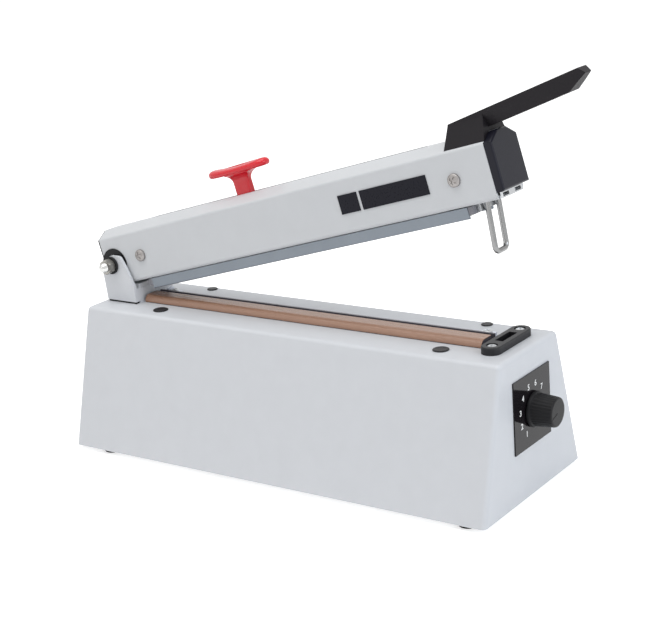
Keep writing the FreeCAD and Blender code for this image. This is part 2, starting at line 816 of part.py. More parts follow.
def build_rail():
    land = "(top_z + rail_rise)"
    length = "rail_right_x - rail_left_x"
    flange_high = "(top_z - case_sheet)"
    flange_low = "(top_z - case_sheet - rail_flange_height)"
    body = new_body()
    pad(body, "YZ_Plane", [[
        ("rail_front_y", "top_z - rail_drop"),
        ("rail_back_y", "top_z - rail_drop"),
        ("rail_back_y", flange_low),
        ("rail_flange_back_y", flange_low),
        ("rail_flange_back_y", flange_high),
        ("rail_back_y", flange_high),
        ("rail_back_y", land),
        ("rail_groove_y", land),
        ("rail_groove_y", "top_z - groove_drop"),
        ("rail_land_y", "top_z - groove_drop"),
        ("rail_land_y", land),
        ("band_back_y", land),
        ("band_back_y", f"{land} - band_height"),
        ("band_front_y", f"{land} - band_height"),
        ("band_front_y", land),
        ("rail_front_y", land),
        ("rail_front_y", flange_high),
        ("rail_flange_front_y", flange_high),
        ("rail_flange_front_y", flange_low),
        ("rail_front_y", flange_low),
    ]], length, lift="rail_left_x")
    crest = DIMENSIONS["top_z"] + DIMENSIONS["rail_rise"] - 0.1
    front = DIMENSIONS["rail_front_y"] + 0.1

    def is_front_crest(edge):
        return is_along_x(edge) and edge.BoundBox.ZMin > crest and edge.BoundBox.YMax < front

    soften(body, "rail_round", is_front_crest)
    base_node("seal_rail", body)

    band_low = f"{land} - band_height"
    band = block(("rail_left_x", "band_front_y", band_low), ("rail_right_x", "band_back_y", land))
    base_node("heating_element", band)

    outer = new_body()
    foot = "top_z + cloth"
    pad(outer, "YZ_Plane", [rectangle("rail_front_y - cloth", "rail_land_y", foot, f"{land} + cloth")],
        length, lift="rail_left_x")
    soften(outer, "rail_round + cloth", is_front_crest)
    inner = new_body()
    pad(inner, "YZ_Plane", [rectangle("rail_front_y", "rail_land_y + overrun", "top_z - overrun", land)],
        length, lift="rail_left_x")
    soften(inner, "rail_round", is_front_crest)
    base_node("ptfe_cover", cut(outer, inner))

    clamps = []
    screws = []
    seat = "top_z + clamp_height"
    middle = "clamp_front_y + clamp_width/2"
    for x in ("clamp_left_x", "clamp_right_x"):
        piece = block((f"{x} - clamp_length/2", "clamp_front_y", "top_z"),
                      (f"{x} + clamp_length/2", "clamp_front_y + clamp_width", seat))
        if x == "clamp_left_x":
            end = f"{x} - clamp_length/2"
            tab = block((end, "clamp_front_y", seat),
                        (f"{end} + clamp_tab_sheet", "clamp_front_y + clamp_width", "clamp_tab_z"))
            piece = join(piece, tab)
        clamps.append(cut(piece, rod("small_shank", "clamp_height", (x, middle, "top_z"), "+Z")))
        screws.append(screw((x, middle, seat), "+Z", "small", "clamp_height + small_shank_length"))
    base_node("element_clamps", group(*clamps))
    base_node("clamp_screws", group(*screws))


# Plugs of the four holes in the top, and the guide that the latch loop drops through.

def build_top_fittings():
    plugs = []
    for row in ("front", "back"):
        for side in ("left", "right"):
            x = f"plug_{row}_{side}_x"
            y = f"plug_{row}_y"
            head = rod(f"plug_{row}_radius", "plug_height", (x, y, "top_z"), "+Z")
            head = rounded(head, "plug_edge", lambda edge: edge.BoundBox.ZMin > DIMENSIONS["top_z"] + 0.1)
            low = "top_z - case_sheet - overrun"
            shank = rod(f"plug_{row}_shank", "case_sheet + overrun", (x, y, low), "+Z")
            plugs.append(join(head, shank))
    base_node("hole_plugs", group(*plugs))

    high = "(top_z + guide_height)"
    ends = [rod("guide_half", "guide_height", ("latch_x", f"guide_y {sign} guide_straight", "top_z"), "+Z")
            for sign in ("-", "+")]
    middle = block(("latch_x - guide_half", "guide_y - guide_straight", "top_z"),
                   ("latch_x + guide_half", "guide_y + guide_straight", high))
    flange = block(("guide_flange_x", "guide_y - guide_flange_half", "top_z"),
                   ("latch_x", "guide_y + guide_flange_half", "top_z + guide_flange_height"))
    slot = block(("latch_x - guide_slot_half", "guide_y - guide_slot_length/2", "top_z - overrun"),
                 ("latch_x + guide_slot_half", "guide_y + guide_slot_length/2", f"{high} + overrun"))
    seat = f"({high} - small_head_height)"
    holes = [slot]
    screws = []
    for y in ("guide_y - guide_screw_y", "guide_y + guide_screw_y"):
        holes.append(rod("small_shank", "guide_height", ("latch_x", y, "top_z"), "+Z"))
        holes.append(rod("small_head + window_gap", "small_head_height", ("latch_x", y, seat), "+Z"))
        screws.append(screw(("latch_x", y, seat), "+Z", "small", "guide_height + overrun"))
    crown = DIMENSIONS["top_z"] + DIMENSIONS["guide_height"] - 0.1
    moulding = rounded(join(middle, flange, *ends), "guide_edge", lambda edge: edge.BoundBox.ZMin > crown)
    base_node("latch_guide", cut(moulding, *holes))
    base_node("latch_guide_screws", group(*screws))


# Timer: printed plate, potentiometer with its nut, and the shaft and knob that turn.

def build_timer():
    face = "base_length/2"
    outside = f"({face} + dial_plate_height)"
    plate = new_body()
    half = "dial_side/2"
    square = rectangle(f"dial_plate_y - {half}", f"dial_plate_y + {half}",
                       f"dial_plate_z - {half}", f"dial_plate_z + {half}")
    pad(plate, "YZ_Plane", [square, ("dial_y", "dial_z", "dial_bush_radius + screw_gap")],
        "dial_plate_height", lift=face)
    base_node("dial_plate", plate)
    inside = f"({face} - case_sheet)"
    can = rod("dial_body_radius", "dial_body_length", (inside, "dial_y", "dial_z"), "-X")
    bush = rod("dial_bush_radius", "case_sheet + dial_bush_reach", (inside, "dial_y", "dial_z"), "+X")
    start = (f"{outside} - shaft_length/2", "dial_y", "dial_z")
    bore = rod("shaft_radius + pin_clearance", "shaft_length", start, "+X")
    base_node("timer_potentiometer", cut(join(can, bush), bore))
    stock = hexagon("dial_nut_radius", "dial_nut_height", (outside, "dial_y", "dial_z"), "+X")
    thread = rod("dial_bush_radius", "dial_nut_height", (outside, "dial_y", "dial_z"), "+X")
    base_node("potentiometer_nut", cut(stock, thread))
    base_node("timer_shaft", rod("shaft_radius", "shaft_length", start, "+X"))

    root = f"({outside} + knob_gap)"
    flange = rod("knob_flange_radius", "knob_flange_height", (root, "dial_y", "dial_z"), "+X")
    grip = cone("knob_root_radius", "knob_tip_radius", "knob_length", (root, "dial_y", "dial_z"), "+X")
    tip = DIMENSIONS["base_length"] / 2 + DIMENSIONS["knob_length"]
    grip = rounded(grip, "knob_edge", lambda edge: edge.BoundBox.XMin > tip)
    hollow = rod("knob_hollow_radius", "knob_hollow_depth", (root, "dial_y", "dial_z"), "+X")
    groove = block((f"{root} + knob_length - pointer_depth", "-pointer_half", "pointer_start"),
                   (f"{root} + knob_length + overrun", "pointer_half", "pointer_end"))
    pointer = place(group(groove), ("0", "dial_y", "dial_z"), FreeCAD.Rotation(FreeCAD.Vector(1, 0, 0), 1))
    bind(pointer, "Placement.Rotation.Angle", "pointer_turn")
    spindle = rod("shaft_radius", "shaft_length", start, "+X")
    base_node("timer_knob", cut(join(flange, grip), hollow, spindle, pointer))


# Snap-in gland where the mains lead enters the left end.

def build_gland():
    outside = "-base_length/2"
    inside = "(case_sheet - base_length/2)"
    flange = rod("gland_flange_radius", "gland_flange_height", (outside, "gland_y", "gland_z"), "-X")
    neck = rod("gland_radius", "gland_inner_reach", (outside, "gland_y", "gland_z"), "+X")
    catch = rod("gland_catch_radius", "gland_catch_height", (inside, "gland_y", "gland_z"), "+X")
    bore = rod("gland_bore", "gland_flange_height + gland_inner_reach",
               (f"{outside} - gland_flange_height", "gland_y", "gland_z"), "+X")
    base_node("cable_gland", cut(join(flange, neck, catch), bore))


# Transformer on the floor plate: laminated core, winding on the middle limb, strap over it.

def build_transformer():
    left = "core_x - core_length/2"
    right = "core_x + core_length/2"
    top = "(floor_high + core_height)"
    low = "(floor_high + core_yoke)"
    high = f"({top} - core_yoke)"
    windows = []
    for near, far in ((f"{left} + core_yoke", "core_x - core_limb_half"),
                      ("core_x + core_limb_half", f"{right} - core_yoke")):
        windows.append(block((near, "-2*core_half", low), (far, "2*core_half", high)))
    core = block((left, "-core_half", "floor_high"), (right, "core_half", top))
    base_node("transformer_core", cut(core, *windows))
    coil = block((f"{left} + core_yoke + coil_gap", "-coil_half_y", f"{low} + coil_gap"),
                 (f"{right} - core_yoke - coil_gap", "coil_half_y", f"{high} - coil_gap"))
    limb = block(("core_x - core_limb_half - coil_gap", "-core_half - coil_gap", "floor_high"),
                 ("core_x + core_limb_half + coil_gap", "core_half + coil_gap", top))
    base_node("transformer_coil", cut(coil, limb))
    strap = block((f"{left} - strap_sheet", "-strap_half", "floor_high"),
                  (f"{right} + strap_sheet", "strap_half", f"{top} + strap_sheet"))
    room = block((left, "-2*strap_half", "floor_high"), (right, "2*strap_half", top))
    feet = [block((near, "-strap_half", "floor_high"), (far, "strap_half", "floor_high + strap_sheet"))
            for near, far in ((f"{left} - strap_foot", left), (right, f"{right} + strap_foot"))]
    base_node("transformer_clamp", join(cut(strap, room), *feet))


# Timer board on four standoffs, with its relay and capacitor.

def build_board():
    right = "board_left_x + board_length"
    high = "(board_low + board_sheet)"
    base_node("timer_board", block(("board_left_x", "-board_half", "board_low"), (right, "board_half", high)))
    posts = []
    for x in ("board_left_x + standoff_inset", f"{right} - standoff_inset"):
        for y in ("standoff_inset - board_half", "board_half - standoff_inset"):
            posts.append(rod("standoff_radius", "board_low - floor_high", (x, y, "floor_high"), "+Z"))
    base_node("board_standoffs", group(*posts))
    relay_left = "(board_left_x + standoff_inset)"
    base_node("board_relay", block((relay_left, "0", high),
                                   (f"{relay_left} + relay_length", "relay_width", f"{high} + relay_height")))
    base_node("board_capacitor", rod("capacitor_radius", "capacitor_height",
                                     ("board_left_x + board_length/2", "-board_half/2", high), "+Z"))


# Holding magnet: stand, frame, winding, and the bolt that slides through the latch loop.

def build_magnet():
    face = "(stand_x + stand_sheet)"
    upright = block(("stand_x", "stand_front_y", "floor_high"), (face, "stand_back_y", "stand_top_z"))
    foot = block(("stand_x - stand_foot", "stand_front_y", "floor_high"),
                 (face, "stand_back_y", "floor_high + stand_sheet"))
    shelf = block((face, "stand_front_y", "shelf_low"), ("shelf_reach", "shelf_back_y", "shelf_high"))
    base_node("latch_bracket", join(upright, foot, shelf))
    end = f"({face} + magnet_length)"
    start = (face, "loop_y", "magnet_z")
    low = "(magnet_z - magnet_half)"
    high = "(magnet_z + magnet_half)"
    frame = block((face, "loop_y - magnet_half", low), (end, "loop_y + magnet_half", high))
    room = block((f"{face} + magnet_plate", "loop_y - magnet_half", f"{low} + magnet_plate"),
                 (f"{end} - magnet_plate", "loop_y + magnet_half", f"{high} + overrun"))
    bore = rod("armature_radius + pin_clearance", "magnet_length", start, "+X")
    base_node("solenoid_frame", cut(frame, room, bore))
    winding = rod("magnet_coil_radius - magnet_plate/2", "magnet_length - 2*magnet_plate",
                  (f"{face} + magnet_plate", "loop_y", "magnet_z"), "+X")
    base_node("solenoid_coil", cut(winding, rod("armature_radius + coil_gap", "magnet_length", start, "+X")))
    armature = rod("armature_radius", "riser_x - armature_back_x",
                   ("armature_back_x", "loop_y", "magnet_z"), "+X")
    riser = block(("riser_x", "loop_y - riser_half", "magnet_z - riser_half"),
                  ("riser_x + riser_length", "loop_y + riser_half", "bolt_z + riser_half"))
    pin = rod("bolt_radius", "bolt_tip_x - riser_x", ("riser_x", "loop_y", "bolt_z"), "+X")
    base_node("latch_bolt", join(armature, riser, pin))


# Start switch on the stand's shelf, and the lever that the closed loop presses.

def build_switch():
    far = "(switch_x + switch_length)"
    can = block(("switch_x", "switch_front_y", "shelf_high"), (far, "switch_back_y", "switch_top_z"))
    lugs = [block((near, "lug_front_y", "lug_low_z"), (f"{near} + lug_sheet", "lug_back_y", "switch_top_z"))
            for near in ("switch_x - lug_sheet", far)]
    pin = rod("lever_pin", "switch_length", ("switch_x", "lever_y", "lever_z"), "+X")
    base_node("start_switch", join(can, pin, *lugs))
    near = "(switch_x + window_gap)"
    length = "switch_length - 2*window_gap"
    barrel = rod("lever_barrel", length, (near, "0", "0"), "+X")
    blade = block((near, "0", "-lever_half_sheet"), (f"{near} + {length}", "lever_reach", "lever_half_sheet"))
    bore = rod("lever_pin + pin_clearance", "switch_length", ("switch_x", "0", "0"), "+X")
    lever = node("switch_lever", cut(join(barrel, blade), bore), ("base_center_x", "lever_y", "lever_z"),
                 FreeCAD.Rotation(FreeCAD.Vector(1, 0, 0), 1))
    bind(lever, "Placement.Rotation.Angle", "lever_angle")


def arm_outline(inset="0", low="arm_low"):
    """Section of the arm with its two chamfers, drawn in by an inset."""
    return [
        (f"-(arm_half - {inset})", low),
        (f"arm_half - {inset}", low),
        (f"arm_half - {inset}", f"arm_fold - {inset}"),
        ("arm_top_half", f"arm_top - {inset}"),
        ("-arm_top_half", f"arm_top - {inset}"),
        (f"-(arm_half - {inset})", f"arm_fold - {inset}"),
    ]


def arm_screw_holes():
    return [(u, "arm_screw_rise", "pan_shank + screw_gap") for u in ("arm_screw_left", "arm_screw_right")]


# Arm cover: folded sheet with chamfered top and small return lips along the bottom.

def build_arm_cover():
    body = new_body()
    length = "arm_right - arm_left"
    pad(body, "YZ_Plane", [arm_outline()], length, lift="arm_left")
    soften(body, "arm_bend", lambda edge: is_along_x(edge) and edge.BoundBox.ZMin > 0)
    soften(body, "arm_low_bend", lambda edge: is_along_x(edge) and edge.BoundBox.ZMax < 0)
    inner = "(arm_half - arm_sheet)"
    pocket(body, "YZ_Plane", [[
        (f"-{inner}", "arm_low + arm_sheet"),
        (inner, "arm_low + arm_sheet"),
        (inner, "arm_fold - arm_fold_drop"),
        ("arm_top_half - arm_top_draw", "arm_top - arm_sheet"),
        ("arm_top_draw - arm_top_half", "arm_top - arm_sheet"),
        (f"-{inner}", "arm_fold - arm_fold_drop"),
    ]], length, lift="arm_left", reverse=True)
    pocket(body, "XY_Plane", [[
        ("arm_left - overrun", f"-{inner}"),
        ("lip_start", f"-{inner}"),
        ("lip_start", "-lip_half"),
        ("lip_end", "-lip_half"),
        ("lip_end", f"-{inner}"),
        ("arm_right + overrun", f"-{inner}"),
        ("arm_right + overrun", inner),
        ("lip_end", inner),
        ("lip_end", "lip_half"),
        ("lip_start", "lip_half"),
        ("lip_start", inner),
        ("arm_left - overrun", inner),
    ]], "2*arm_sheet", lift="arm_low", reverse=True)
    side_holes = [("0", "0", "bush_hole_radius")] + arm_screw_holes()
    pocket(body, "XZ_Plane", side_holes, "3*arm_half", sides="Symmetric")
    top_holes = [rectangle("slot_start", "slot_end", "cutter_y - top_slot_half", "cutter_y + top_slot_half")]
    top_holes += [(u, "0", "bolt_shank + screw_gap") for u in ("handle_screw_first", "handle_screw_second")]
    pocket(body, "XY_Plane", top_holes, "arm_sheet + overrun", lift="arm_top")
    arm_node("arm_cover", body)


# Flanged bushes in the arm's sides, thin black cap on the left end, and the side screws.

def build_arm_ends_and_screws():
    bushes = []
    for axis, back, side in (("-Y", "+Y", "-"), ("+Y", "-Y", "")):
        spot = ("0", f"{side}arm_half", "0")
        flange = rod("bush_flange_radius", "bush_flange_height", spot, axis)
        outside = ("0", f"{side}(arm_half + bush_boss_height)", "0")
        sleeve = rod("bush_sleeve_radius", "bush_boss_height + bush_sleeve_length", outside, back)
        bore = rod("pin_radius + pin_clearance", "bush_boss_height + bush_sleeve_length", outside, back)
        bushes.append(cut(join(flange, sleeve), bore))
    arm_node("hinge_bushes", group(*bushes))

    cap = new_body()
    pad(cap, "YZ_Plane", [arm_outline("rear_cap_inset", "rear_cap_low")], "rear_cap_height",
        lift="arm_left", reverse=True)
    arm_node("rear_end_cap", cap)

    screws = []
    for u in ("arm_screw_left", "arm_screw_right"):
        for axis, side in (("-Y", "-"), ("+Y", "")):
            screws.append(screw((u, f"{side}arm_half", "arm_screw_rise"), axis, "pan", "pan_shank_length"))
    arm_node("arm_screws", group(*screws))


def blade_slot():
    return rectangle("slot_start", "slot_end", "cutter_y - blade_slot_half", "cutter_y + blade_slot_half")


def bar_screw_spots():
    return [f"bar_screw_first + {k}*bar_screw_step" for k in range(3)]


# Upper jaw: inner channel, pressure bar under it, silicone strip, collar screws and end clips.

def build_jaw():
    channel = new_body()
    length = "channel_right - channel_left"
    inner = "(channel_half - arm_sheet)"
    web = "(channel_low + arm_sheet)"
    pad(channel, "YZ_Plane", [[
        ("-channel_half", "channel_low"),
        ("channel_half", "channel_low"),
        ("channel_half", "channel_high"),
        (inner, "channel_high"),
        (inner, web),
        (f"-{inner}", web),
        (f"-{inner}", "channel_high"),
        ("-channel_half", "channel_high"),
    ]], length, lift="channel_left")
    holes = [blade_slot()] + [(u, "bar_screw_y", "bolt_shank + screw_gap") for u in bar_screw_spots()]
    pocket(channel, "XY_Plane", holes, "arm_sheet", lift=web)
    pocket(channel, "XZ_Plane", arm_screw_holes(), "3*arm_half", sides="Symmetric")
    arm_node("arm_channel", channel)

    bar = new_body()
    under = "(bar_top - bar_sheet)"
    skirt = "(bar_half - bar_skirt)"
    pad(bar, "YZ_Plane", [[
        ("-bar_half", "bar_low"),
        (f"-{skirt}", "bar_low"),
        (f"-{skirt}", under),
        ("bar_rib_front", under),
        ("bar_rib_front", "bar_rib_low"),
        ("bar_rib_back", "bar_rib_low"),
        ("bar_rib_back", under),
        (skirt, under),
        (skirt, "bar_low"),
        ("bar_half", "bar_low"),
        ("bar_half", "bar_top"),
        ("-bar_half", "bar_top"),
    ]], "bar_right - bar_left", lift="bar_left")
    foot = DIMENSIONS["bar_low"] + 0.1
    side = DIMENSIONS["bar_half"] - 0.1

    def is_outer_foot(edge):
        return is_along_x(edge) and edge.BoundBox.ZMax < foot and abs(edge.CenterOfMass.y) > side

    soften(bar, "bar_edge", is_outer_foot)
    pocket(bar, "XY_Plane", [blade_slot()], "bar_sheet", lift="bar_top")
    pocket(bar, "XY_Plane", [(u, "bar_screw_y", "bolt_shank + screw_gap") for u in bar_screw_spots()],
           "bar_top - bar_screw_deep", lift="bar_top")
    arm_node("pressure_bar", bar)
    strip = block(("bar_left + strip_inset", "bar_rib_front + strip_inset", "strip_low"),
                  ("bar_right - strip_inset", "bar_rib_back - strip_inset", "bar_rib_low"))
    arm_node("silicone_strip", strip)
    screws = []
    for u in bar_screw_spots():
        bolt = screw((u, "bar_screw_y", web), "+Z", "bolt", f"{web} - bar_screw_deep")
        collar = rod("bar_screw_collar", "channel_low - bar_top", (u, "bar_screw_y", "bar_top"), "+Z")
        screws.append(join(bolt, collar))
    arm_node("pressure_bar_screws", group(*screws))
    clips = [block((u, "-clip_half", "clip_low"), (f"{u} + clip_length", "clip_half", "clip_high"))
             for u in ("bar_left - clip_length", "bar_right")]
    arm_node("bar_end_clips", group(*clips))


def post(half_u, half_y, low, high):
    """Block centred on the cutter."""
    return block((f"cutter_u - {half_u}", f"cutter_y - {half_y}", low),
                 (f"cutter_u + {half_u}", f"cutter_y + {half_y}", high))


# Cutter: guide rod with supports, carriage, return spring, red knob with its stem, and blade.

def build_cutter():
    web = "(channel_low + arm_sheet)"
    rail = rod("rod_radius", "rod_right - rod_left", ("rod_left", "rod_y", "rod_rise"), "+X")
    arm_node("cutter_guide_rod", rail)
    supports = []
    for u, screw_u in (("rod_left", "arm_screw_left"), ("rod_right - support_length", "arm_screw_right")):
        piece = block((u, "support_front_y", web),
                      (f"{u} + support_length", "support_back_y", "support_high"))
        bore = rod("rod_radius", "support_length", (u, "rod_y", "rod_rise"), "+X")
        thread = rod("pan_shank", "pan_shank_length", (screw_u, "-arm_half", "arm_screw_rise"), "+Y")
        supports.append(cut(piece, bore, thread))
    arm_node("rod_supports", group(*supports))

    left = "(cutter_u - carriage_half)"
    right = "(cutter_u + carriage_half)"
    shoe = block((left, "carriage_front_y", "carriage_low"), (right, "carriage_back_y", "carriage_high"))
    bore = rod("rod_radius + pin_clearance", "2*carriage_half", (left, "rod_y", "rod_rise"), "+X")
    well = post("(foot_stem_half_u + stem_gap)", "(foot_stem_half_y + stem_gap)",
                "carriage_low", "carriage_high")
    arm_node("cutter_carriage", cut(shoe, bore, well))
    start = ("cutter_u", "cutter_y", "carriage_high")
    length = "collar_low - carriage_high"
    arm_node("cutter_spring", cut(rod("return_spring_outer", length, start, "+Z"),
                                  rod("return_spring_inner", length, start, "+Z")))

    foot = post("foot_stem_half_u", "foot_stem_half_y", "carriage_low", "collar_low")
    collar = post("collar_half_u", "collar_half_y", "collar_low", "collar_high")
    stem = post("stem_half_u", "stem_half_y", "collar_high", "cap_low")
    reach = "(cap_half_length - cap_half_width)"
    bar = post(reach, "cap_half_width", "cap_low", "cap_high")
    height = "cap_high - cap_low"
    ends = [rod("cap_half_width", height, (f"cutter_u {sign} {reach}", "cutter_y", "cap_low"), "+Z")
            for sign in ("-", "+")]
    dish = rod("cap_dish_radius", "4*cap_half_width",
               ("cutter_u", "cutter_y - 2*cap_half_width", "cap_dish_low + cap_dish_radius"), "+Y")
    cap = rounded(cut(join(bar, *ends), dish), "cap_edge", lambda edge: True)
    low = "(cap_low - flare_radius)"
    wedge = post("(stem_half_u + flare_radius)", "stem_half_y", low, "cap_low + cap_edge")
    hollows = []
    for sign in ("-", "+"):
        axis = (f"cutter_u {sign} (stem_half_u + flare_radius)", "cutter_y - stem_half_y", low)
        hollows.append(rod("flare_radius", "2*stem_half_y", axis, "+Y"))
    flare = cut(wedge, *hollows)
    sheet_half = "(blade_half_sheet + blade_fit)"
    seat = post("carriage_half", sheet_half, "carriage_low - overrun", "blade_high + blade_fit")
    arm_node("cutter_knob", cut(join(foot, collar, stem, flare, cap), seat))
    arm_node("cutter_blade", post("blade_half_width", "blade_half_sheet", "blade_low", "blade_high"))


# Right end of the arm: moulded cap, anchor plate under it and the wire loop that the latch holds.

def build_arm_right_end():
    cap = new_body()
    pad(cap, "YZ_Plane", [arm_outline("end_cap_drop", "end_cap_low")], "end_cap_height", lift="arm_right")
    outer = DIMENSIONS["arm_right"] + DIMENSIONS["end_cap_height"] - 0.1
    soften(cap, "end_cap_edge", lambda edge: edge.BoundBox.XMin > outer)
    pad(cap, "YZ_Plane", [rectangle("-spigot_half", "spigot_half", "spigot_low", "spigot_high"),
                          rectangle("spigot_wall - spigot_half", "spigot_half - spigot_wall",
                                    "spigot_low + spigot_wall", "spigot_high - spigot_wall")],
        "spigot_depth", lift="arm_right", reverse=True)
    arm_node("end_cap", cap)

    plate = new_body()
    pad(plate, "XZ_Plane", [[
        ("anchor_left", "anchor_low"),
        ("anchor_right", "anchor_low"),
        ("anchor_right", "anchor_flange_high"),
        ("anchor_right - anchor_sheet", "anchor_flange_high"),
        ("anchor_right - anchor_sheet", "anchor_high"),
        ("anchor_left", "anchor_high"),
    ]], "2*anchor_half", sides="Symmetric")
    slots = [rectangle(start, f"{start} + anchor_slot_length", "anchor_slot_low", "anchor_slot_high")
             for start in ("anchor_slot_front", "anchor_slot_middle")]
    slots.append(rectangle("anchor_flange_back", "anchor_half + overrun",
                           "anchor_low - overrun", "anchor_flange_high + overrun"))
    pocket(plate, "YZ_Plane", slots, "anchor_sheet + overrun", lift="anchor_right")
    pocket(plate, "XY_Plane", [("loop_u", f"loop_y {sign} loop_half", "loop_hole") for sign in ("-", "+")],
           "anchor_high - anchor_low", lift="anchor_high")
    lower = rectangle("anchor_block_left", "anchor_block_right", "-anchor_block_half", "anchor_block_half")
    pad(plate, "XY_Plane", [lower], "anchor_low - anchor_block_low", lift="anchor_low", reverse=True)
    arm_node("loop_anchor_plate", plate)

    bend = "(loop_half - loop_bend)"
    pieces = [rod("loop_wire", f"2*{bend}", ("0", f"-{bend}", "-loop_drop"), "+Y")]
    upright = FreeCAD.Rotation(FreeCAD.Vector(1, 1, 1), 120)
    for side, turn in (("", -90), ("-", 180)):
        start = ("0", f"{side}loop_half", "loop_bend - loop_drop")
        leg = rod("loop_wire", "loop_drop - loop_bend + loop_top", start, "+Z")
        elbow = doc.addObject("Part::Torus", "elbow")
        bind(elbow, "Radius1", "loop_bend")
        bind(elbow, "Radius2", "loop_wire")
        elbow.Angle3 = 90
        place(elbow, ("0", f"{side}{bend}", "loop_bend - loop_drop"),
              upright.multiply(FreeCAD.Rotation(FreeCAD.Vector(0, 0, 1), turn)))
        pieces += [leg, elbow]
    lean = FreeCAD.Rotation(FreeCAD.Vector(0, 1, 0), 1)
    wire = place(join(*pieces), ("loop_u", "loop_y", "loop_origin"), lean)
    bind(wire, "Placement.Rotation.Angle", "loop_tilt")
    arm_node("latch_loop", group(wire))


# Lever handle that sits on the arm's chamfers, hollow below, with its two screws.

def build_handle():
    body = new_body()
    pad(body, "XZ_Plane", [[
        ("saddle_left", "saddle_low"),
        ("saddle_right", "saddle_low"),
        ("saddle_right", "grip_root_rise"),
        ("grip_heel", "grip_heel_rise"),
        ("grip_nose", "grip_nose_rise"),
        ("grip_crest", "grip_crest_rise"),
        ("saddle_crest", "saddle_crest_rise"),
    ]], "2*handle_half", sides="Symmetric")
    beyond = "(handle_half + overrun)"
    flanks = [[(f"{side}{beyond}", "saddle_low"), (f"{side}handle_half", "saddle_low"),
               (f"{side}grip_half", "saddle_crest_rise"), (f"{side}grip_half", "grip_crest_rise"),
               (f"{side}{beyond}", "grip_crest_rise")] for side in ("-", "")]
    before = "saddle_left - overrun"
    pocket(body, "YZ_Plane", flanks, "saddle_right - saddle_left + overrun", lift=before, reverse=True)
    sides = [[("saddle_right", f"{side}{beyond}"), ("saddle_right", f"{side}grip_half"),
              ("grip_bevel", f"{side}grip_bevel_half"), ("grip_nose", f"{side}grip_nose_half"),
              ("grip_nose", f"{side}{beyond}")] for side in ("-", "")]
    pocket(body, "XY_Plane", sides, "4*grip_crest_rise", sides="Symmetric")
    notches = [[("saddle_right", f"{side}{beyond}"), ("saddle_right", f"{side}notch_half"),
                ("notch_end", f"{side}grip_half"), ("notch_end", f"{side}{beyond}")] for side in ("-", "")]
    pocket(body, "XY_Plane", notches, "notch_rise - saddle_low", lift="notch_rise")
    pocket(body, "XZ_Plane", [[
        ("grip_hollow_left", "saddle_low"),
        ("grip_hollow_right", "saddle_low"),
        ("grip_hollow_right", "grip_hollow_rise_right"),
        ("grip_hollow_left", "grip_hollow_rise_left"),
    ]], "2*grip_hollow_half", sides="Symmetric")
    seat = arm_outline("(0 - saddle_gap)")
    pocket(body, "YZ_Plane", [seat], "saddle_clear - saddle_left + overrun", lift=before, reverse=True)
    places = ("handle_screw_first", "handle_screw_second")
    holes = [(u, "0", "bolt_shank + screw_gap") for u in places]
    pocket(body, "XY_Plane", holes, "handle_screw_length", lift="arm_top", reverse=True)
    arm_node("handle", body)
    screws = [screw((u, "0", "arm_top - arm_sheet"), "-Z", "bolt", "handle_screw_length") for u in places]
    arm_node("handle_screws", group(*screws))


# Plain black plates on the arm's front.

def build_name_plates():
    plates = [block((f"{size}_plate_left", "-(arm_half + plate_sheet)", "plate_low"),
                    (f"{size}_plate_right", "-arm_half", "plate_high")) for size in ("small", "long")]
    arm_node("name_plates", group(*plates))


build_base_housing()
build_floor()
build_hinge()
build_rail()
build_top_fittings()
build_timer()
build_gland()
build_transformer()
build_board()
build_magnet()
build_switch()
build_arm_cover()
build_arm_ends_and_screws()
build_jaw()
build_cutter()
build_arm_right_end()
build_handle()
build_name_plates()
doc.recompute()

failed = [item.Name for item in doc.Objects if {"Invalid", "Error"} & set(item.State)]
for item in doc.Objects:
    if item.TypeId == "PartDesign::Pocket" and item.BaseFeature:
        if item.Shape.Volume > item.BaseFeature.Shape.Volume - 0.01:
            failed.append(f"{item.Name} cuts nothing")
for item in nodes:
    if item.Shape.isNull() or not item.Shape.isValid() or not item.Shape.Solids:
        failed.append(item.Label)
if failed:
    raise RuntimeError(f"not built: {failed}")

whole = FreeCAD.BoundBox()
for item in nodes:
    item.Shape.exportStep(f"parts/{item.Label}.step")
    whole.add(item.Shape.BoundBox)
print(len(nodes), "nodes, box", whole)
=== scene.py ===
import math

import bpy
import numpy as np
from mathutils import Matrix


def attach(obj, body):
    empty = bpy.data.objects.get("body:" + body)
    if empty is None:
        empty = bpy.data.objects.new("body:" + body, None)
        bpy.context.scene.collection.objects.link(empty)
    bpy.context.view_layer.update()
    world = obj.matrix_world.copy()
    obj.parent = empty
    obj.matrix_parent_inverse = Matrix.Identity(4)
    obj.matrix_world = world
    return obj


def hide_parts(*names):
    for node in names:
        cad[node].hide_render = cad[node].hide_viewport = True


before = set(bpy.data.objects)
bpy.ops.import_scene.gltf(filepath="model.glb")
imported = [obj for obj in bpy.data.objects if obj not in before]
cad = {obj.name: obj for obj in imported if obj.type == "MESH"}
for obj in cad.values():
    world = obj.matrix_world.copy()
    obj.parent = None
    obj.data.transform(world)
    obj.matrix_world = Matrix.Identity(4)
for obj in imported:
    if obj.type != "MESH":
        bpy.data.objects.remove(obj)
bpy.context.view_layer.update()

scene = bpy.context.scene


# Studio: a white table under soft lamps, and one long-lens camera above the front right corner.
# The table is a plain matt sheet, and the room around it is even and bright.
MM = 0.001
BASE_MIDDLE_X = -17.2


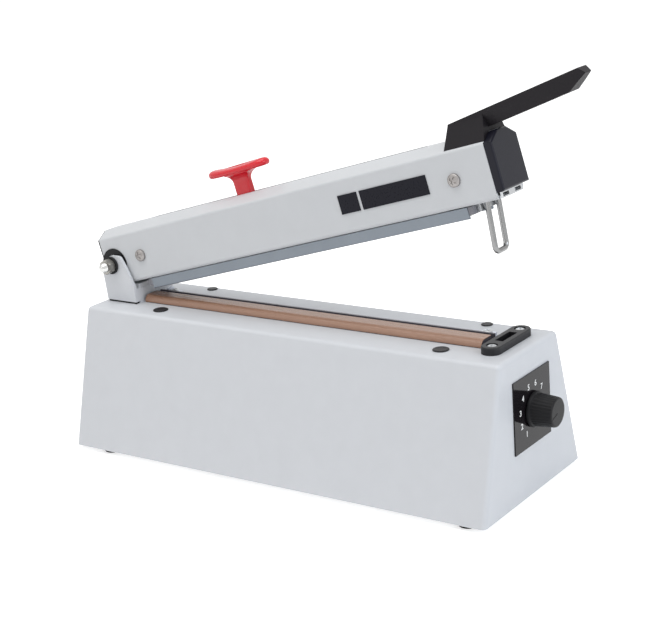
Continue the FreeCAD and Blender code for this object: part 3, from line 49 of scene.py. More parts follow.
def set_camera(turn, rise, roll, distance, target, lens):
    """Camera on a sphere round the target: turn about the upright, rise, then roll about the line of sight."""
    back = np.array([math.sin(turn) * math.cos(rise), -math.cos(turn) * math.cos(rise), math.sin(rise)])
    right = np.array([math.cos(turn), math.sin(turn), 0.0])
    up = np.cross(back, right)
    across = right * math.cos(roll) + up * math.sin(roll)
    upright = up * math.cos(roll) - right * math.sin(roll)
    place = np.identity(4)
    place[:3, :3] = np.column_stack([across, upright, back])
    place[:3, 3] = np.array(target) + back * distance
    camera = bpy.data.objects.new("camera", bpy.data.cameras.new("camera"))
    camera.data.lens = lens
    camera.data.sensor_width = 36
    camera.data.clip_end = 20
    camera.matrix_world = Matrix(place)
    scene.collection.objects.link(camera)
    scene.camera = camera


set_camera(turn=0.62302, rise=0.290539, roll=-0.0721504, distance=0.932136,
           target=((19.434 + BASE_MIDDLE_X) * MM, 0, 95.408 * MM), lens=84.586)


def add_lamp(name, spot, aim, size, power, tint):
    """Square lamp at a spot, turned to shine at an aim."""
    lamp = bpy.data.objects.new(name, bpy.data.lights.new(name, "AREA"))
    lamp.data.size = size
    lamp.data.energy = power
    lamp.data.color = tint
    back = np.array(spot, float) - np.array(aim, float)
    back /= np.linalg.norm(back)
    right = np.cross((0.0, 0.0, 1.0), back) + (1e-6, 0, 0)
    right /= np.linalg.norm(right)
    place = np.identity(4)
    place[:3, :3] = np.column_stack([right, np.cross(back, right), back])
    place[:3, 3] = spot
    lamp.matrix_world = Matrix(place)
    scene.collection.objects.link(lamp)


add_lamp("lamp_above", (-0.1, -0.3, 1.7), (0, 0, 0.1), 1.6, 18, (1, 1, 0.99))
add_lamp("lamp_front", (-0.9, -1.6, 0.9), (0, 0, 0.1), 1.3, 2.6, (1, 0.99, 0.98))
add_lamp("lamp_right", (1.7, -0.2, 0.9), (0, 0, 0.1), 1.2, 12, (0.82, 0.9, 1))


def seen_share(tree):
    """1 for a ray from the camera, a mirror or clear matter, and 0 for the rays that light the object."""
    path = tree.nodes.new("ShaderNodeLightPath")
    share = path.outputs["Is Camera Ray"]
    for name in ("Is Glossy Ray", "Is Transmission Ray"):
        step = tree.nodes.new("ShaderNodeMath")
        step.operation = "MAXIMUM"
        tree.links.new(share, step.inputs[0])
        tree.links.new(path.outputs[name], step.inputs[1])
        share = step.outputs[0]
    return share


ROOM_LIGHT = 0.46
world = bpy.data.worlds.new("room")
world.use_nodes = True
scene.world = world
strength = world.node_tree.nodes.new("ShaderNodeMapRange")
strength.inputs["To Min"].default_value = ROOM_LIGHT
strength.inputs["To Max"].default_value = 1.0
world.node_tree.links.new(seen_share(world.node_tree), strength.inputs["Value"])
background = world.node_tree.nodes["Background"]
background.inputs["Color"].default_value = (1, 1, 1, 1)
world.node_tree.links.new(strength.outputs["Result"], background.inputs["Strength"])

TABLE_REACH = 5.0
TABLE_GLOW = 0.64
table_sheet = bpy.data.materials.new("table_sheet")
table_sheet.use_nodes = True
tree = table_sheet.node_tree
tree.nodes.remove(tree.nodes["Principled BSDF"])
matt = tree.nodes.new("ShaderNodeBsdfDiffuse")
matt.inputs["Color"].default_value = (0.86, 0.86, 0.86, 1)
glow = tree.nodes.new("ShaderNodeEmission")
level = tree.nodes.new("ShaderNodeMath")
level.operation = "MULTIPLY"
level.inputs[1].default_value = TABLE_GLOW
both = tree.nodes.new("ShaderNodeAddShader")
tree.links.new(seen_share(tree), level.inputs[0])
tree.links.new(level.outputs[0], glow.inputs["Strength"])
tree.links.new(matt.outputs[0], both.inputs[0])
tree.links.new(glow.outputs[0], both.inputs[1])
tree.links.new(both.outputs[0], tree.nodes["Material Output"].inputs["Surface"])
table_mesh = bpy.data.meshes.new("table")
corners = np.array([(-1, -1, 0), (1, -1, 0), (1, 1, 0), (-1, 1, 0)]) * TABLE_REACH
table_mesh.from_pydata(corners.tolist(), [], [(0, 1, 2, 3)])
table_mesh.materials.append(table_sheet)
table = bpy.data.objects.new("table", table_mesh)
scene.collection.objects.link(table)
scene.view_settings.view_transform = "Standard"


# Base case: one sheet of steel, cut, folded and welded, with sloping front and back walls.
# It is powder coated in a light cool grey with a fine, even skin.

def ink(red, green, blue):
    """Screen colour, 0 to 255, as the linear colour that a shader takes."""
    share = np.array([red, green, blue]) / 255
    return tuple(np.where(share < 0.04045, share / 12.92, ((share + 0.055) / 1.055) ** 2.4)) + (1.0,)


def finish(name, colour, drift, rough, swing, grain, bump, metal=0.0, stretch=(1, 1, 1), **settings):
    """Material on Object coordinates.
    A broad noise drifts the colour, and a fine one the roughness and the height."""
    material = bpy.data.materials.new(name)
    material.use_nodes = True
    tree = material.node_tree
    shader = tree.nodes["Principled BSDF"]
    shader.inputs["Metallic"].default_value = metal
    for socket, value in settings.items():
        shader.inputs[socket.replace("_", " ")].default_value = value
    where = tree.nodes.new("ShaderNodeTexCoord")
    scaled = tree.nodes.new("ShaderNodeMapping")
    scaled.inputs["Scale"].default_value = stretch
    tree.links.new(where.outputs["Object"], scaled.inputs["Vector"])
    broad = tree.nodes.new("ShaderNodeTexNoise")
    broad.inputs["Scale"].default_value = grain / 14
    broad.inputs["Detail"].default_value = 4
    fine = tree.nodes.new("ShaderNodeTexNoise")
    fine.inputs["Scale"].default_value = grain
    fine.inputs["Detail"].default_value = 3
    for noise in (broad, fine):
        tree.links.new(scaled.outputs["Vector"], noise.inputs["Vector"])
    tone = tree.nodes.new("ShaderNodeValToRGB")
    low, high = tone.color_ramp.elements
    low.position, high.position = 0.3, 0.7
    low.color = [part * (1 - drift) for part in colour[:3]] + [1]
    high.color = [min(1, part * (1 + drift)) for part in colour[:3]] + [1]
    tree.links.new(broad.outputs["Fac"], tone.inputs["Fac"])
    tree.links.new(tone.outputs["Color"], shader.inputs["Base Color"])
    gloss = tree.nodes.new("ShaderNodeMapRange")
    gloss.inputs["From Min"].default_value = 0.3
    gloss.inputs["From Max"].default_value = 0.7
    gloss.inputs["To Min"].default_value = rough - swing
    gloss.inputs["To Max"].default_value = rough + swing
    tree.links.new(fine.outputs["Fac"], gloss.inputs["Value"])
    tree.links.new(gloss.outputs["Result"], shader.inputs["Roughness"])
    relief = tree.nodes.new("ShaderNodeBump")
    relief.inputs["Strength"].default_value = bump
    relief.inputs["Distance"].default_value = 0.1 * MM
    tree.links.new(fine.outputs["Fac"], relief.inputs["Height"])
    tree.links.new(relief.outputs["Normal"], shader.inputs["Normal"])
    return material


def dress(material, *names):
    """Give CAD nodes one material."""
    for name in names:
        cad[name].data.materials.clear()
        cad[name].data.materials.append(material)


grey_paint = finish("grey_powder_coat", ink(208, 210, 214), 0.012, 0.46, 0.05, 1400, 0.25)
dress(grey_paint, "base_housing")


# Floor plate of the case, with its screws: plain zinc plated sheet, screwed up to the folded ledge.
# The four feet are soft black rubber buttons pushed into holes in the floor.

zinc = finish("zinc_plate", ink(196, 198, 200), 0.05, 0.36, 0.08, 900, 0.12, metal=1.0)
dress(zinc, "bottom_plate")


def ring_faces(rows, sides, looped):
    """Quads between neighbouring rings of points, each ring closed on itself, and the rings too if looped."""
    row, side = np.meshgrid(np.arange(rows if looped else rows - 1), np.arange(sides), indexing="ij")
    after, beside = (row + 1) % rows, (side + 1) % sides
    return np.stack([row * sides + side, row * sides + beside, after * sides + beside, after * sides + side],
                    axis=-1).reshape(-1, 4)


def skin(name, solids, material, body, replaced=(), looped=False, sharp=32, edge=0.0):
    """Mesh of solids, each a stack of rings of points in metres, with flat caps on the end rings.
    Each solid is turned so that its faces point outwards, by the sign of its volume."""
    points, faces, start = [], [], 0
    for rings in solids:
        rows, sides = rings.shape[:2]
        flat = rings.reshape(-1, 3)
        quads = ring_faces(rows, sides, looped)
        caps = [] if looped else [np.arange(sides)[::-1], np.arange(sides) + (rows - 1) * sides]
        middle = flat.mean(axis=0)
        a, b, c, d = (flat[quads[:, k]] - middle for k in range(4))
        volume = np.einsum("ij,ij->", a, np.cross(b, c)) + np.einsum("ij,ij->", a, np.cross(c, d))
        solid_faces = [face.tolist() for face in [*quads, *caps]]
        if volume < 0:
            solid_faces = [face[::-1] for face in solid_faces]
        faces += [[start + k for k in face] for face in solid_faces]
        points.append(flat)
        start += rows * sides
    mesh = bpy.data.meshes.new(name)
    mesh.from_pydata(np.concatenate(points).tolist(), [], faces)
    mesh.polygons.foreach_set("use_smooth", np.ones(len(mesh.polygons), bool))
    mesh.set_sharp_from_angle(angle=math.radians(sharp))
    mesh.materials.append(material)
    item = bpy.data.objects.new(name, mesh)
    scene.collection.objects.link(item)
    if edge:
        bevel = item.modifiers.new("edge", "BEVEL")
        bevel.width = edge
        bevel.segments = 3
        bevel.limit_method = "ANGLE"
        bevel.angle_limit = math.radians(24)
        bevel.harden_normals = True
    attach(item, body)
    if replaced:
        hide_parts(*replaced)
    return item


def turned(profile, spot, axis, sides=48):
    """Rings of a turned part: each (along, radius) of the profile is a circle about the axis at the spot."""
    along, radius = np.array(profile, float).T[..., None]
    axis = np.array(axis, float)
    first = np.cross(axis, (0.0, 0.0, 1.0) if abs(axis[2]) < 0.9 else (1.0, 0.0, 0.0))
    first /= np.linalg.norm(first)
    second = np.cross(axis, first)
    angle = np.linspace(0, 2 * np.pi, sides, endpoint=False)
    circle = np.cos(angle)[:, None] * first + np.sin(angle)[:, None] * second
    return (np.array(spot) + along[..., None] * axis + radius[..., None] * circle) * MM


def base_point(x, y, z):
    """Point given in millimetres from the middle of the base, in the frame's millimetres."""
    return np.array([x + BASE_MIDDLE_X, y, z])


black_rubber = finish("black_rubber", ink(26, 26, 28), 0.06, 0.72, 0.06, 1800, 0.35, Specular_IOR_Level=0.3)
FOOT_PROFILE = [(0, 5.2), (0.1, 5.7), (0.5, 6.05), (2.4, 6.5), (2.9, 6.5), (3.15, 6.0), (3.2, 2.6),
                (6.2, 2.6), (6.9, 2.0)]
FOOT_SPOTS = [(x, y) for x in (-125.9, 134.8) for y in (-48.3, 48.3)]
feet = [turned(FOOT_PROFILE, base_point(x, y, 0), (0, 0, 1)) for x, y in FOOT_SPOTS]
skin("foot_buttons", feet, black_rubber, "base", ["rubber_feet"])


def cross_head(spot, axis, head, height, shank, length, turn, deep=0.55, sides=96):
    """Rings of a cross-head screw: shank, flat seat, rim and dome, with a cross sunk into the dome.
    The cross is where the smaller of the two coordinates on the head is narrow and the larger is short."""
    axis = np.array(axis, float)
    first = np.cross(axis, (0.0, 0.0, 1.0) if abs(axis[2]) < 0.9 else (1.0, 0.0, 0.0))
    first /= np.linalg.norm(first)
    second = np.cross(axis, first)
    angle = np.linspace(0, 2 * np.pi, sides, endpoint=False)
    share = np.concatenate([[1, 0.985, 0.93], np.linspace(0.86, 0.06, 26)])
    radius = np.concatenate([[shank, shank, head], head * share])
    dome = height * (0.45 + 0.55 * np.sqrt(np.clip(1 - share ** 2, 0, 1)))
    level = np.concatenate([[-length, 0, 0], np.concatenate([[0.35 * height], dome[1:]])])
    across = radius[:, None] * np.cos(angle - turn)
    along = radius[:, None] * np.sin(angle - turn)
    narrow, wide = np.minimum(abs(across), abs(along)), np.maximum(abs(across), abs(along))
    groove = np.clip((0.17 * head - narrow) / (0.05 * head), 0, 1)
    groove *= np.clip((0.62 * head - wide) / (0.08 * head), 0, 1)
    groove[:4] = 0
    level = level[:, None] - deep * height * groove
    circle = np.cos(angle)[:, None] * first + np.sin(angle)[:, None] * second
    return (np.array(spot) + level[..., None] * axis + radius[:, None, None] * circle) * MM


plated_screw = finish("plated_screw", ink(204, 202, 198), 0.05, 0.28, 0.06, 1600, 0.1, metal=1.0)
floor_screws = [cross_head(base_point(x, y, 3.2), (0, 0, -1), 2.8, 1.6, 1.4, 4, 0.4)
                for x in (-142, 142) for y in (-25, 25)]
skin("floor_screws", floor_screws, plated_screw, "base", ["bottom_plate_screws"])


# Hinge bracket: folded sheet with two ears and a web, painted like the case, on a thin black rubber gasket.
# Two screws hold it down, and the pivot bolt goes through both ears with black washers and steel nuts.

bracket_paint = finish("bracket_powder_coat", ink(214, 216, 220), 0.012, 0.42, 0.05, 1400, 0.22)
dress(bracket_paint, "hinge_bracket")
dress(black_rubber, "bracket_gasket")
bracket_screws = [cross_head(base_point(-136, y, 92.2), (0, 0, 1), 3.8, 2.2, 1.5, 6.7, 0.9) for y in (-8, 8)]
skin("bracket_cross_screws", bracket_screws, plated_screw, "base", ["bracket_screws"])

PIVOT_X, PIVOT_Z = -139, 113.3
PIN_REACH, PIN_RADIUS, THREAD_PITCH, THREAD_START = 28.4, 3.0, 0.9, 19.4
bright_steel = finish("bright_steel", ink(206, 206, 204), 0.04, 0.2, 0.06, 1300, 0.08, metal=1.0)
thread = np.arange(THREAD_START, PIN_REACH - 1.7, THREAD_PITCH / 6)
crest = PIN_RADIUS - 0.2 + 0.2 * np.cos((thread - THREAD_START) / THREAD_PITCH * 2 * np.pi)
PIN_TIP = [[PIN_REACH - 1.5, 2.75], [PIN_REACH - 0.7, 2.2], [PIN_REACH - 0.15, 1.3], [PIN_REACH, 0.6]]
half = np.concatenate([[[0, PIN_RADIUS]], np.column_stack([thread, crest]), PIN_TIP])
pin = np.concatenate([half[:0:-1] * [-1, 1], half])
pivot = base_point(PIVOT_X, 0, PIVOT_Z)
skin("pivot_bolt", [turned(pin, pivot, (0, 1, 0))], bright_steel, "base", ["hinge_pin"])


def washer(inner, outer, height, spot, axis):
    """Rings of a flat ring with softened edges: its section is a small rectangle carried round the axis."""
    soft = 0.22 * height
    section = [(0, inner), (0, outer - soft), (soft, outer), (height - soft, outer), (height, outer - soft),
               (height, inner)]
    return turned(section, spot, axis)


EAR_OUTER, WASHER_HEIGHT = 18, 1.6
sides = (-1, 1)
washers = [washer(3.0, 5.7, WASHER_HEIGHT, base_point(PIVOT_X, side * EAR_OUTER, PIVOT_Z), (0, side, 0))
           for side in sides]
skin("pivot_washers", washers, black_rubber, "base", ["hinge_washers"], looped=True)


def hex_nut(bore, corner, height, spot, axis, sides=72):
    """Rings of a hexagon nut: the flats follow a hexagon, cut to a cone at both ends, with a round bore."""
    section = [(0, bore), (0, corner), (0.2 * height, corner), (0.8 * height, corner), (height, corner),
               (height, bore)]
    rings = turned(section, spot, axis, sides)
    angle = np.linspace(0, 2 * np.pi, sides, endpoint=False)
    flats = math.cos(math.pi / 6) / np.cos((angle + math.pi / 6) % (math.pi / 3) - math.pi / 6)
    centre = (np.array(spot) + np.array([0, 0.2, 0.8, 1])[:, None] * height * np.array(axis, float)) * MM
    shape = np.stack([np.minimum(flats, 0.9), flats, flats, np.minimum(flats, 0.9)])
    rings[1:5] = centre[:, None] + (rings[1:5] - centre[:, None]) * shape[..., None]
    return rings


nut_steel = finish("nut_steel", ink(152, 150, 145), 0.05, 0.38, 0.06, 1400, 0.1, metal=1.0)
nuts = [hex_nut(3.0, 5.0, 5.0, base_point(PIVOT_X, side * (EAR_OUTER + WASHER_HEIGHT), PIVOT_Z), (0, side, 0))
        for side in sides]
skin("pivot_nuts", nuts, nut_steel, "base", ["hinge_nuts"], looped=True, sharp=22)
spring_steel = finish("spring_steel", ink(120, 122, 126), 0.06, 0.34, 0.06, 1200, 0.1, metal=1.0)
dress(spring_steel, "opening_spring")


# Seal rail: aluminium extrusion let into the top, with a groove for the knife; its grey is darkened as painted
# shade for the shadow line behind the cloth.
# A flat heating band lies on it, clamped at both ends.
# A taut strip of brown coated glass cloth is pulled over its front and land.

# Painted shade: the rail's own aluminium grey is darkened so that it stands in for the shadow gap behind the
# cloth.
dark_aluminium = finish("dark_aluminium", ink(104, 100, 108), 0.04, 0.4, 0.06, 900, 0.12, metal=0.4,
                        stretch=(0.04, 1, 1))
dress(dark_aluminium, "seal_rail")
heating_alloy = finish("heating_alloy", ink(150, 146, 142), 0.06, 0.3, 0.06, 900, 0.1, metal=1.0,
                       stretch=(0.05, 1, 1))
dress(heating_alloy, "heating_element")

CLOTH_LEFT, CLOTH_RIGHT, CLOTH_THICK = -119.6, 126.0, 0.28
CLOTH_FOOT, CLOTH_TOP, CLOTH_FRONT, CLOTH_BACK, CLOTH_ROUND = 89.3, 93.5, -11.3, 0.2, 3.9


def cloth_line(inset):
    """Half of the cloth's section, from its foot up the front, round the crest and back to the groove."""
    bend = CLOTH_ROUND - inset
    angle = np.linspace(np.pi, np.pi / 2, 14)
    arc = np.column_stack([CLOTH_FRONT + CLOTH_ROUND + bend * np.cos(angle),
                           CLOTH_TOP - CLOTH_ROUND + bend * np.sin(angle)])
    land = np.column_stack([np.linspace(arc[-1, 0], CLOTH_BACK, 16)[1:], np.full(15, CLOTH_TOP - inset)])
    return np.concatenate([[[CLOTH_FRONT + inset, CLOTH_FOOT]], arc, land])


section = np.concatenate([cloth_line(0), cloth_line(CLOTH_THICK)[::-1]])
run = np.linspace(CLOTH_LEFT, CLOTH_RIGHT, 240)
ripple = 0.05 * np.sin(run / 7.3) * np.sin(run / 23.0 + 1)
lift = np.clip((section[:, 1] - CLOTH_FOOT) / 3, 0, 1)
cloth = np.empty((len(run), len(section), 3))
cloth[..., 0] = run[:, None] + BASE_MIDDLE_X
cloth[..., 1] = section[:, 0] - ripple[:, None] * (1 - lift)
cloth[..., 2] = section[:, 1]


def woven(name, colour, weft, thread_width, rough, bump):
    """Cloth of two sets of threads, along x and across it on y + z.
    Two crossing waves set colour and height."""
    material = finish(name, colour, 0.1, rough, 0.05, 500, 0.0, stretch=(0.08, 1, 1), Specular_IOR_Level=0.6)
    tree = material.node_tree
    shader = tree.nodes["Principled BSDF"]
    where = tree.nodes["Texture Coordinate"].outputs["Object"]
    parts = tree.nodes.new("ShaderNodeSeparateXYZ")
    tree.links.new(where, parts.inputs[0])
    over = tree.nodes.new("ShaderNodeMath")
    tree.links.new(parts.outputs["Y"], over.inputs[0])
    tree.links.new(parts.outputs["Z"], over.inputs[1])
    waves = []
    for source in (parts.outputs["X"], over.outputs[0]):
        scaled = tree.nodes.new("ShaderNodeMath")
        scaled.operation = "MULTIPLY"
        scaled.inputs[1].default_value = 2 * math.pi / thread_width
        wave = tree.nodes.new("ShaderNodeMath")
        wave.operation = "SINE"
        tree.links.new(source, scaled.inputs[0])
        tree.links.new(scaled.outputs[0], wave.inputs[0])
        waves.append(wave.outputs[0])
    cross = tree.nodes.new("ShaderNodeMath")
    cross.operation = "MULTIPLY"
    for k in range(2):
        tree.links.new(waves[k], cross.inputs[k])
    share = tree.nodes.new("ShaderNodeMapRange")
    share.inputs["From Min"].default_value = -1
    tree.links.new(cross.outputs[0], share.inputs["Value"])
    mix = tree.nodes.new("ShaderNodeMix")
    mix.data_type = "RGBA"
    mix.inputs["B"].default_value = weft
    tree.links.new(share.outputs["Result"], mix.inputs["Factor"])
    tree.links.new(tree.nodes["Color Ramp"].outputs["Color"], mix.inputs["A"])
    tree.links.new(mix.outputs["Result"], shader.inputs["Base Color"])
    relief = tree.nodes["Bump"]
    relief.inputs["Strength"].default_value = bump
    tree.links.new(cross.outputs[0], relief.inputs["Height"])
    return material


cover_cloth = woven("coated_glass_cloth", ink(166, 128, 106), ink(154, 115, 93), 0.9 * MM, 0.27, 0.2)
cover = skin("seal_cover_cloth", [cloth * MM], cover_cloth, "base", ["ptfe_cover"], sharp=60)

clamp_plate = finish("clamp_plate", ink(224, 228, 238), 0.04, 0.38, 0.06, 900, 0.12, metal=0.5)
dress(clamp_plate, "element_clamps")
clamp_screws = [cross_head(base_point(x, 8.7, 91.6), (0, 0, 1), 2.8, 1.6, 1.4, 6.6, turn)
                for x, turn in ((-111.5, 0.3), (119, 1.1))]
skin("band_clamp_screws", clamp_screws, zinc, "base", ["clamp_screws"])


# Top fittings: four black push-in plugs, and the moulded guide with the slot that the latch loop drops into.
# Two short screws with flat heads hold the guide to the case.

CASE_TOP = 89
black_moulding = finish("black_moulding", ink(30, 30, 33), 0.05, 0.42, 0.06, 1500, 0.2,
                        Specular_IOR_Level=0.32)
PLUG_PROFILE = np.array([(-2.5, 3.2), (-2.2, 3.9), (0, 3.95), (0, 4.65), (0.25, 4.85), (0.55, 4.7),
                         (0.75, 4.3), (0.8, 3.4), (0.72, 3.2), (0.72, 1.2), (0.74, 0.4)])
PLUG_SPOTS = ((-97.7, -22, 1), (106.4, -22, 1), (-96.3, 28.2, 0.722), (107.6, 28.2, 0.722))
plugs = [turned(PLUG_PROFILE * [1, share], base_point(x, y, CASE_TOP), (0, 0, 1))
         for x, y, share in PLUG_SPOTS]
skin("top_plugs", plugs, black_moulding, "base", ["hole_plugs"])
dress(black_moulding, "latch_guide")
guide_screws = [cross_head(base_point(134.9, y, 91.8), (0, 0, 1), 2.8, 1.6, 1.4, 6.4, turn)
                for y, turn in ((-15, 0.2), (17.4, 0.8))]
skin("guide_cross_screws", guide_screws, zinc, "base", ["latch_guide_screws"])


# Timer: a glossy black plate on the right end, with the potentiometer behind it and a ribbed black knob.
# The knob is hollow underneath, over the nut and the bush, and its face has a pointer line cut into it.
# White figures from one to seven are printed round it.

printed_plate = finish("printed_plate", ink(25, 22, 25), 0.03, 0.08, 0.02, 1200, 0.01,
                       Specular_IOR_Level=0.21)
dress(printed_plate, "dial_plate")
black_plastic = finish("black_plastic", ink(13, 13, 16), 0.05, 0.44, 0.06, 1500, 0.22,
                       Specular_IOR_Level=0.22)
dress(black_plastic, "timer_potentiometer")
dress(zinc, "potentiometer_nut")
dress(bright_steel, "timer_shaft")
BASE_END, PLATE_FACE = 150, 150.8
DIAL_Y, DIAL_Z = 0.7, 53.3
FIGURE_Y, FIGURE_Z, FIGURE_RADIUS, FIGURE_FIRST, FIGURE_STEP = 0.0, 53.4, 14.6, -147.3, 32.5
FIGURE_SIZE, FIGURE_BOLD, FIGURE_RISE = 4.7, 0.1, 0.06


def printed_figures(name, figures, material):
    """Figures as one thin mesh: each is set upright on a circle, clockwise from the first one's turn."""
    points, faces, start = [], [], 0
    for order, figure in enumerate(figures):
        text = bpy.data.curves.new("figure", "FONT")
        text.body = figure
        text.size = FIGURE_SIZE * MM
        text.offset = FIGURE_BOLD * MM
        text.align_x = "CENTER"
        text.align_y = "CENTER"
        text.extrude = FIGURE_RISE * MM / 2
        holder = bpy.data.objects.new("figure", text)
        mesh = bpy.data.meshes.new_from_object(holder)
        flat = np.empty(len(mesh.vertices) * 3)
        mesh.vertices.foreach_get("co", flat)
        flat = flat.reshape(-1, 3)
        turn = math.radians(FIGURE_FIRST + FIGURE_STEP * order)
        spot = base_point(PLATE_FACE + FIGURE_RISE / 2, FIGURE_Y + FIGURE_RADIUS * math.sin(turn),
                          FIGURE_Z + FIGURE_RADIUS * math.cos(turn)) * MM
        points.append(np.column_stack([flat[:, 2], flat[:, 0], flat[:, 1]]) + spot)
        faces += [[start + k for k in face.vertices] for face in mesh.polygons]
        start += len(flat)
        bpy.data.objects.remove(holder)
        bpy.data.meshes.remove(mesh)
        bpy.data.curves.remove(text)
    mesh = bpy.data.meshes.new(name)
    mesh.from_pydata(np.concatenate(points).tolist(), [], faces)
    mesh.materials.append(material)
    item = bpy.data.objects.new(name, mesh)
    scene.collection.objects.link(item)
    return item


white_print = finish("white_print", ink(248, 248, 246), 0.03, 0.5, 0.05, 1500, 0.05)
figures = printed_figures("dial_figures", [str(k) for k in range(1, 8)], white_print)
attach(figures, "base")

KNOB_RIBS, RIB_DEPTH, RIB_SHARE = 30, 0.22, 0.35
POINTER_TURN, POINTER_HALF, POINTER_DEPTH, POINTER_START = math.radians(-106), 0.4, 0.2, 1.0
KNOB_UNDERSIDE = [(13.0, 3.05), (4.7, 3.05), (4.7, 6.6), (1.3, 6.6)]
KNOB_FLANGE = [(1.3, 9.9), (1.5, 10.3), (2.9, 10.3), (3.4, 10.0), (3.6, 9.5)]
KNOB_GRIP = [(4.2, 9.4), (14.6, 8.62)]
KNOB_EDGE = [(15.4, 8.4), (15.8, 7.9)]
KNOB_FACE = [(15.9, 7.2)] + [(15.9, radius) for radius in np.linspace(6.9, 0.6, 22)]
knob_profile = KNOB_UNDERSIDE + KNOB_FLANGE + KNOB_GRIP + KNOB_EDGE + KNOB_FACE
grip_start = len(KNOB_UNDERSIDE + KNOB_FLANGE)
ribbed = slice(grip_start, grip_start + len(KNOB_GRIP))
dial_spot = base_point(BASE_END, DIAL_Y, DIAL_Z)
knob = turned(knob_profile, dial_spot, (1, 0, 0), sides=240)
spread = knob[..., 1:] - dial_spot[1:] * MM
reach = np.linalg.norm(spread, axis=2, keepdims=True)
ribs = np.cos(np.arctan2(spread[ribbed, :, 1], spread[ribbed, :, 0]) * KNOB_RIBS) > RIB_SHARE
knob[ribbed, :, 1:] -= (spread / reach)[ribbed] * RIB_DEPTH * MM * ribs[..., None]
pointing = spread @ [math.sin(POINTER_TURN), math.cos(POINTER_TURN)]
aside = abs(spread @ [math.cos(POINTER_TURN), -math.sin(POINTER_TURN)])
sunk = (aside < POINTER_HALF * MM) & (pointing > POINTER_START * MM)
sunk[:-len(KNOB_FACE)] = False
knob[..., 0] -= POINTER_DEPTH * MM * sunk
skin("timer_grip", [knob], black_plastic, "dial", ["timer_knob"])


# Cord inlet: black moulded gland in the left end of the case, with a round bore for the mains lead.
# It is pushed in from outside and held by its rim and its snap shoulders.

dress(black_moulding, "cable_gland")


# Inside of the case: transformer, timer board, holding magnet and start switch, each on its own bracket.
# Laminated iron, enamelled copper windings, a green circuit board and plain mouldings.
# The floor plate hides all of them.

core_iron = finish("core_iron", ink(92, 90, 92), 0.08, 0.5, 0.08, 700, 0.2, metal=0.8)
copper_winding = finish("copper_winding", ink(176, 106, 62), 0.08, 0.36, 0.06, 900, 0.25, metal=0.9,
                        stretch=(1, 1, 0.2))
board_green = finish("board_green", ink(46, 98, 62), 0.06, 0.44, 0.06, 900, 0.12)
grey_plastic = finish("grey_plastic", ink(128, 130, 134), 0.04, 0.48, 0.06, 1200, 0.2)
dress(core_iron, "transformer_core", "solenoid_frame")
dress(copper_winding, "transformer_coil", "solenoid_coil")
dress(zinc, "transformer_clamp", "latch_bracket", "board_standoffs")
dress(board_green, "timer_board")
dress(grey_plastic, "board_relay", "start_switch")
dress(black_plastic, "board_capacitor")
dress(bright_steel, "latch_bolt", "switch_lever")


# Arm cover: folded sheet steel with chamfered top folds, painted like the case.
# A thin black cap closes it at the hinge and black bushes carry it on the pivot bolt.
# Two cross-head screws on each side hold the inner channel.

ARM_TILT = math.radians(15.15)
ALONG = np.array([math.cos(ARM_TILT), 0, math.sin(ARM_TILT)])
SQUARE = np.array([-math.sin(ARM_TILT), 0, math.cos(ARM_TILT)])


def arm_points(u, y, n):
    """Points in metres from millimetres along the arm, across it and square to it, counted from the pivot."""
    u, y, n = np.broadcast_arrays(*(np.asarray(part, float) for part in (u, y, n)))
    return (pivot + u[..., None] * ALONG + y[..., None] * np.array([0, 1, 0]) + n[..., None] * SQUARE) * MM


arm_paint = finish("arm_powder_coat", ink(206, 208, 211), 0.012, 0.46, 0.05, 1400, 0.25)
dress(arm_paint, "arm_cover")
dress(black_plastic, "rear_end_cap", "hinge_bushes")
dress(zinc, "arm_channel")
dull_screw = finish("dull_screw", ink(156, 152, 150), 0.04, 0.46, 0.05, 1600, 0.1, metal=1.0)
ARM_HALF, ARM_SCREW_RISE = 14.5, 1.6
ARM_SCREW_SPOTS = ((23.8, -1, 0.5), (264.4, -1, 1.2), (23.8, 1, 0.2), (264.4, 1, 0.9))
arm_screws = [cross_head(arm_points(u, ARM_HALF * side, ARM_SCREW_RISE) / MM, (0, side, 0), 3.8, 2.2, 1.5, 6,
                         turn, deep=0.28)
              for u, side, turn in ARM_SCREW_SPOTS]
skin("arm_cross_screws", arm_screws, dull_screw, "arm", ["arm_screws"])


# Upper jaw: aluminium pressure bar with a soft silicone strip, bolted under the inner channel.
# Dark clips close its two ends.

bar_aluminium = finish("bar_aluminium", ink(128, 135, 143), 0.03, 0.44, 0.06, 900, 0.12, metal=0.55,
                       stretch=(0.06, 1, 0.06))
dress(bar_aluminium, "pressure_bar")
silicone = finish("silicone", ink(206, 204, 198), 0.03, 0.6, 0.05, 1200, 0.2)
dress(silicone, "silicone_strip")
dress(plated_screw, "pressure_bar_screws")
dark_clip = finish("dark_clip", ink(122, 122, 128), 0.05, 0.46, 0.06, 1200, 0.2)
dress(dark_clip, "bar_end_clips")


# Cutter: a carriage on a round rod inside the arm, its return spring, the red knob and the blade under it.
# The knob is moulded in one piece: a stem that flares into a dished T-shaped cap.

dress(bright_steel, "cutter_guide_rod", "cutter_blade")
dress(zinc, "rod_supports")
dress(grey_plastic, "cutter_carriage")
dress(spring_steel, "cutter_spring")
CUTTER_U, CUTTER_Y = 108.2, 1.7
red_plastic = finish("red_plastic", ink(215, 18, 37), 0.02, 0.2, 0.02, 900, 0.03, Subsurface_Weight=0.1,
                     Subsurface_Radius=(0.004, 0.001, 0.001), Subsurface_Scale=0.6)


def oval(half_u, half_y, power, sides=96):
    """Closed outline between an ellipse (power 2) and a rectangle (high power)."""
    angle = np.linspace(0, 2 * np.pi, sides, endpoint=False)
    u = np.sign(np.cos(angle)) * abs(np.cos(angle)) ** (2 / power) * half_u
    y = np.sign(np.sin(angle)) * abs(np.sin(angle)) ** (2 / power) * half_y
    return u, y


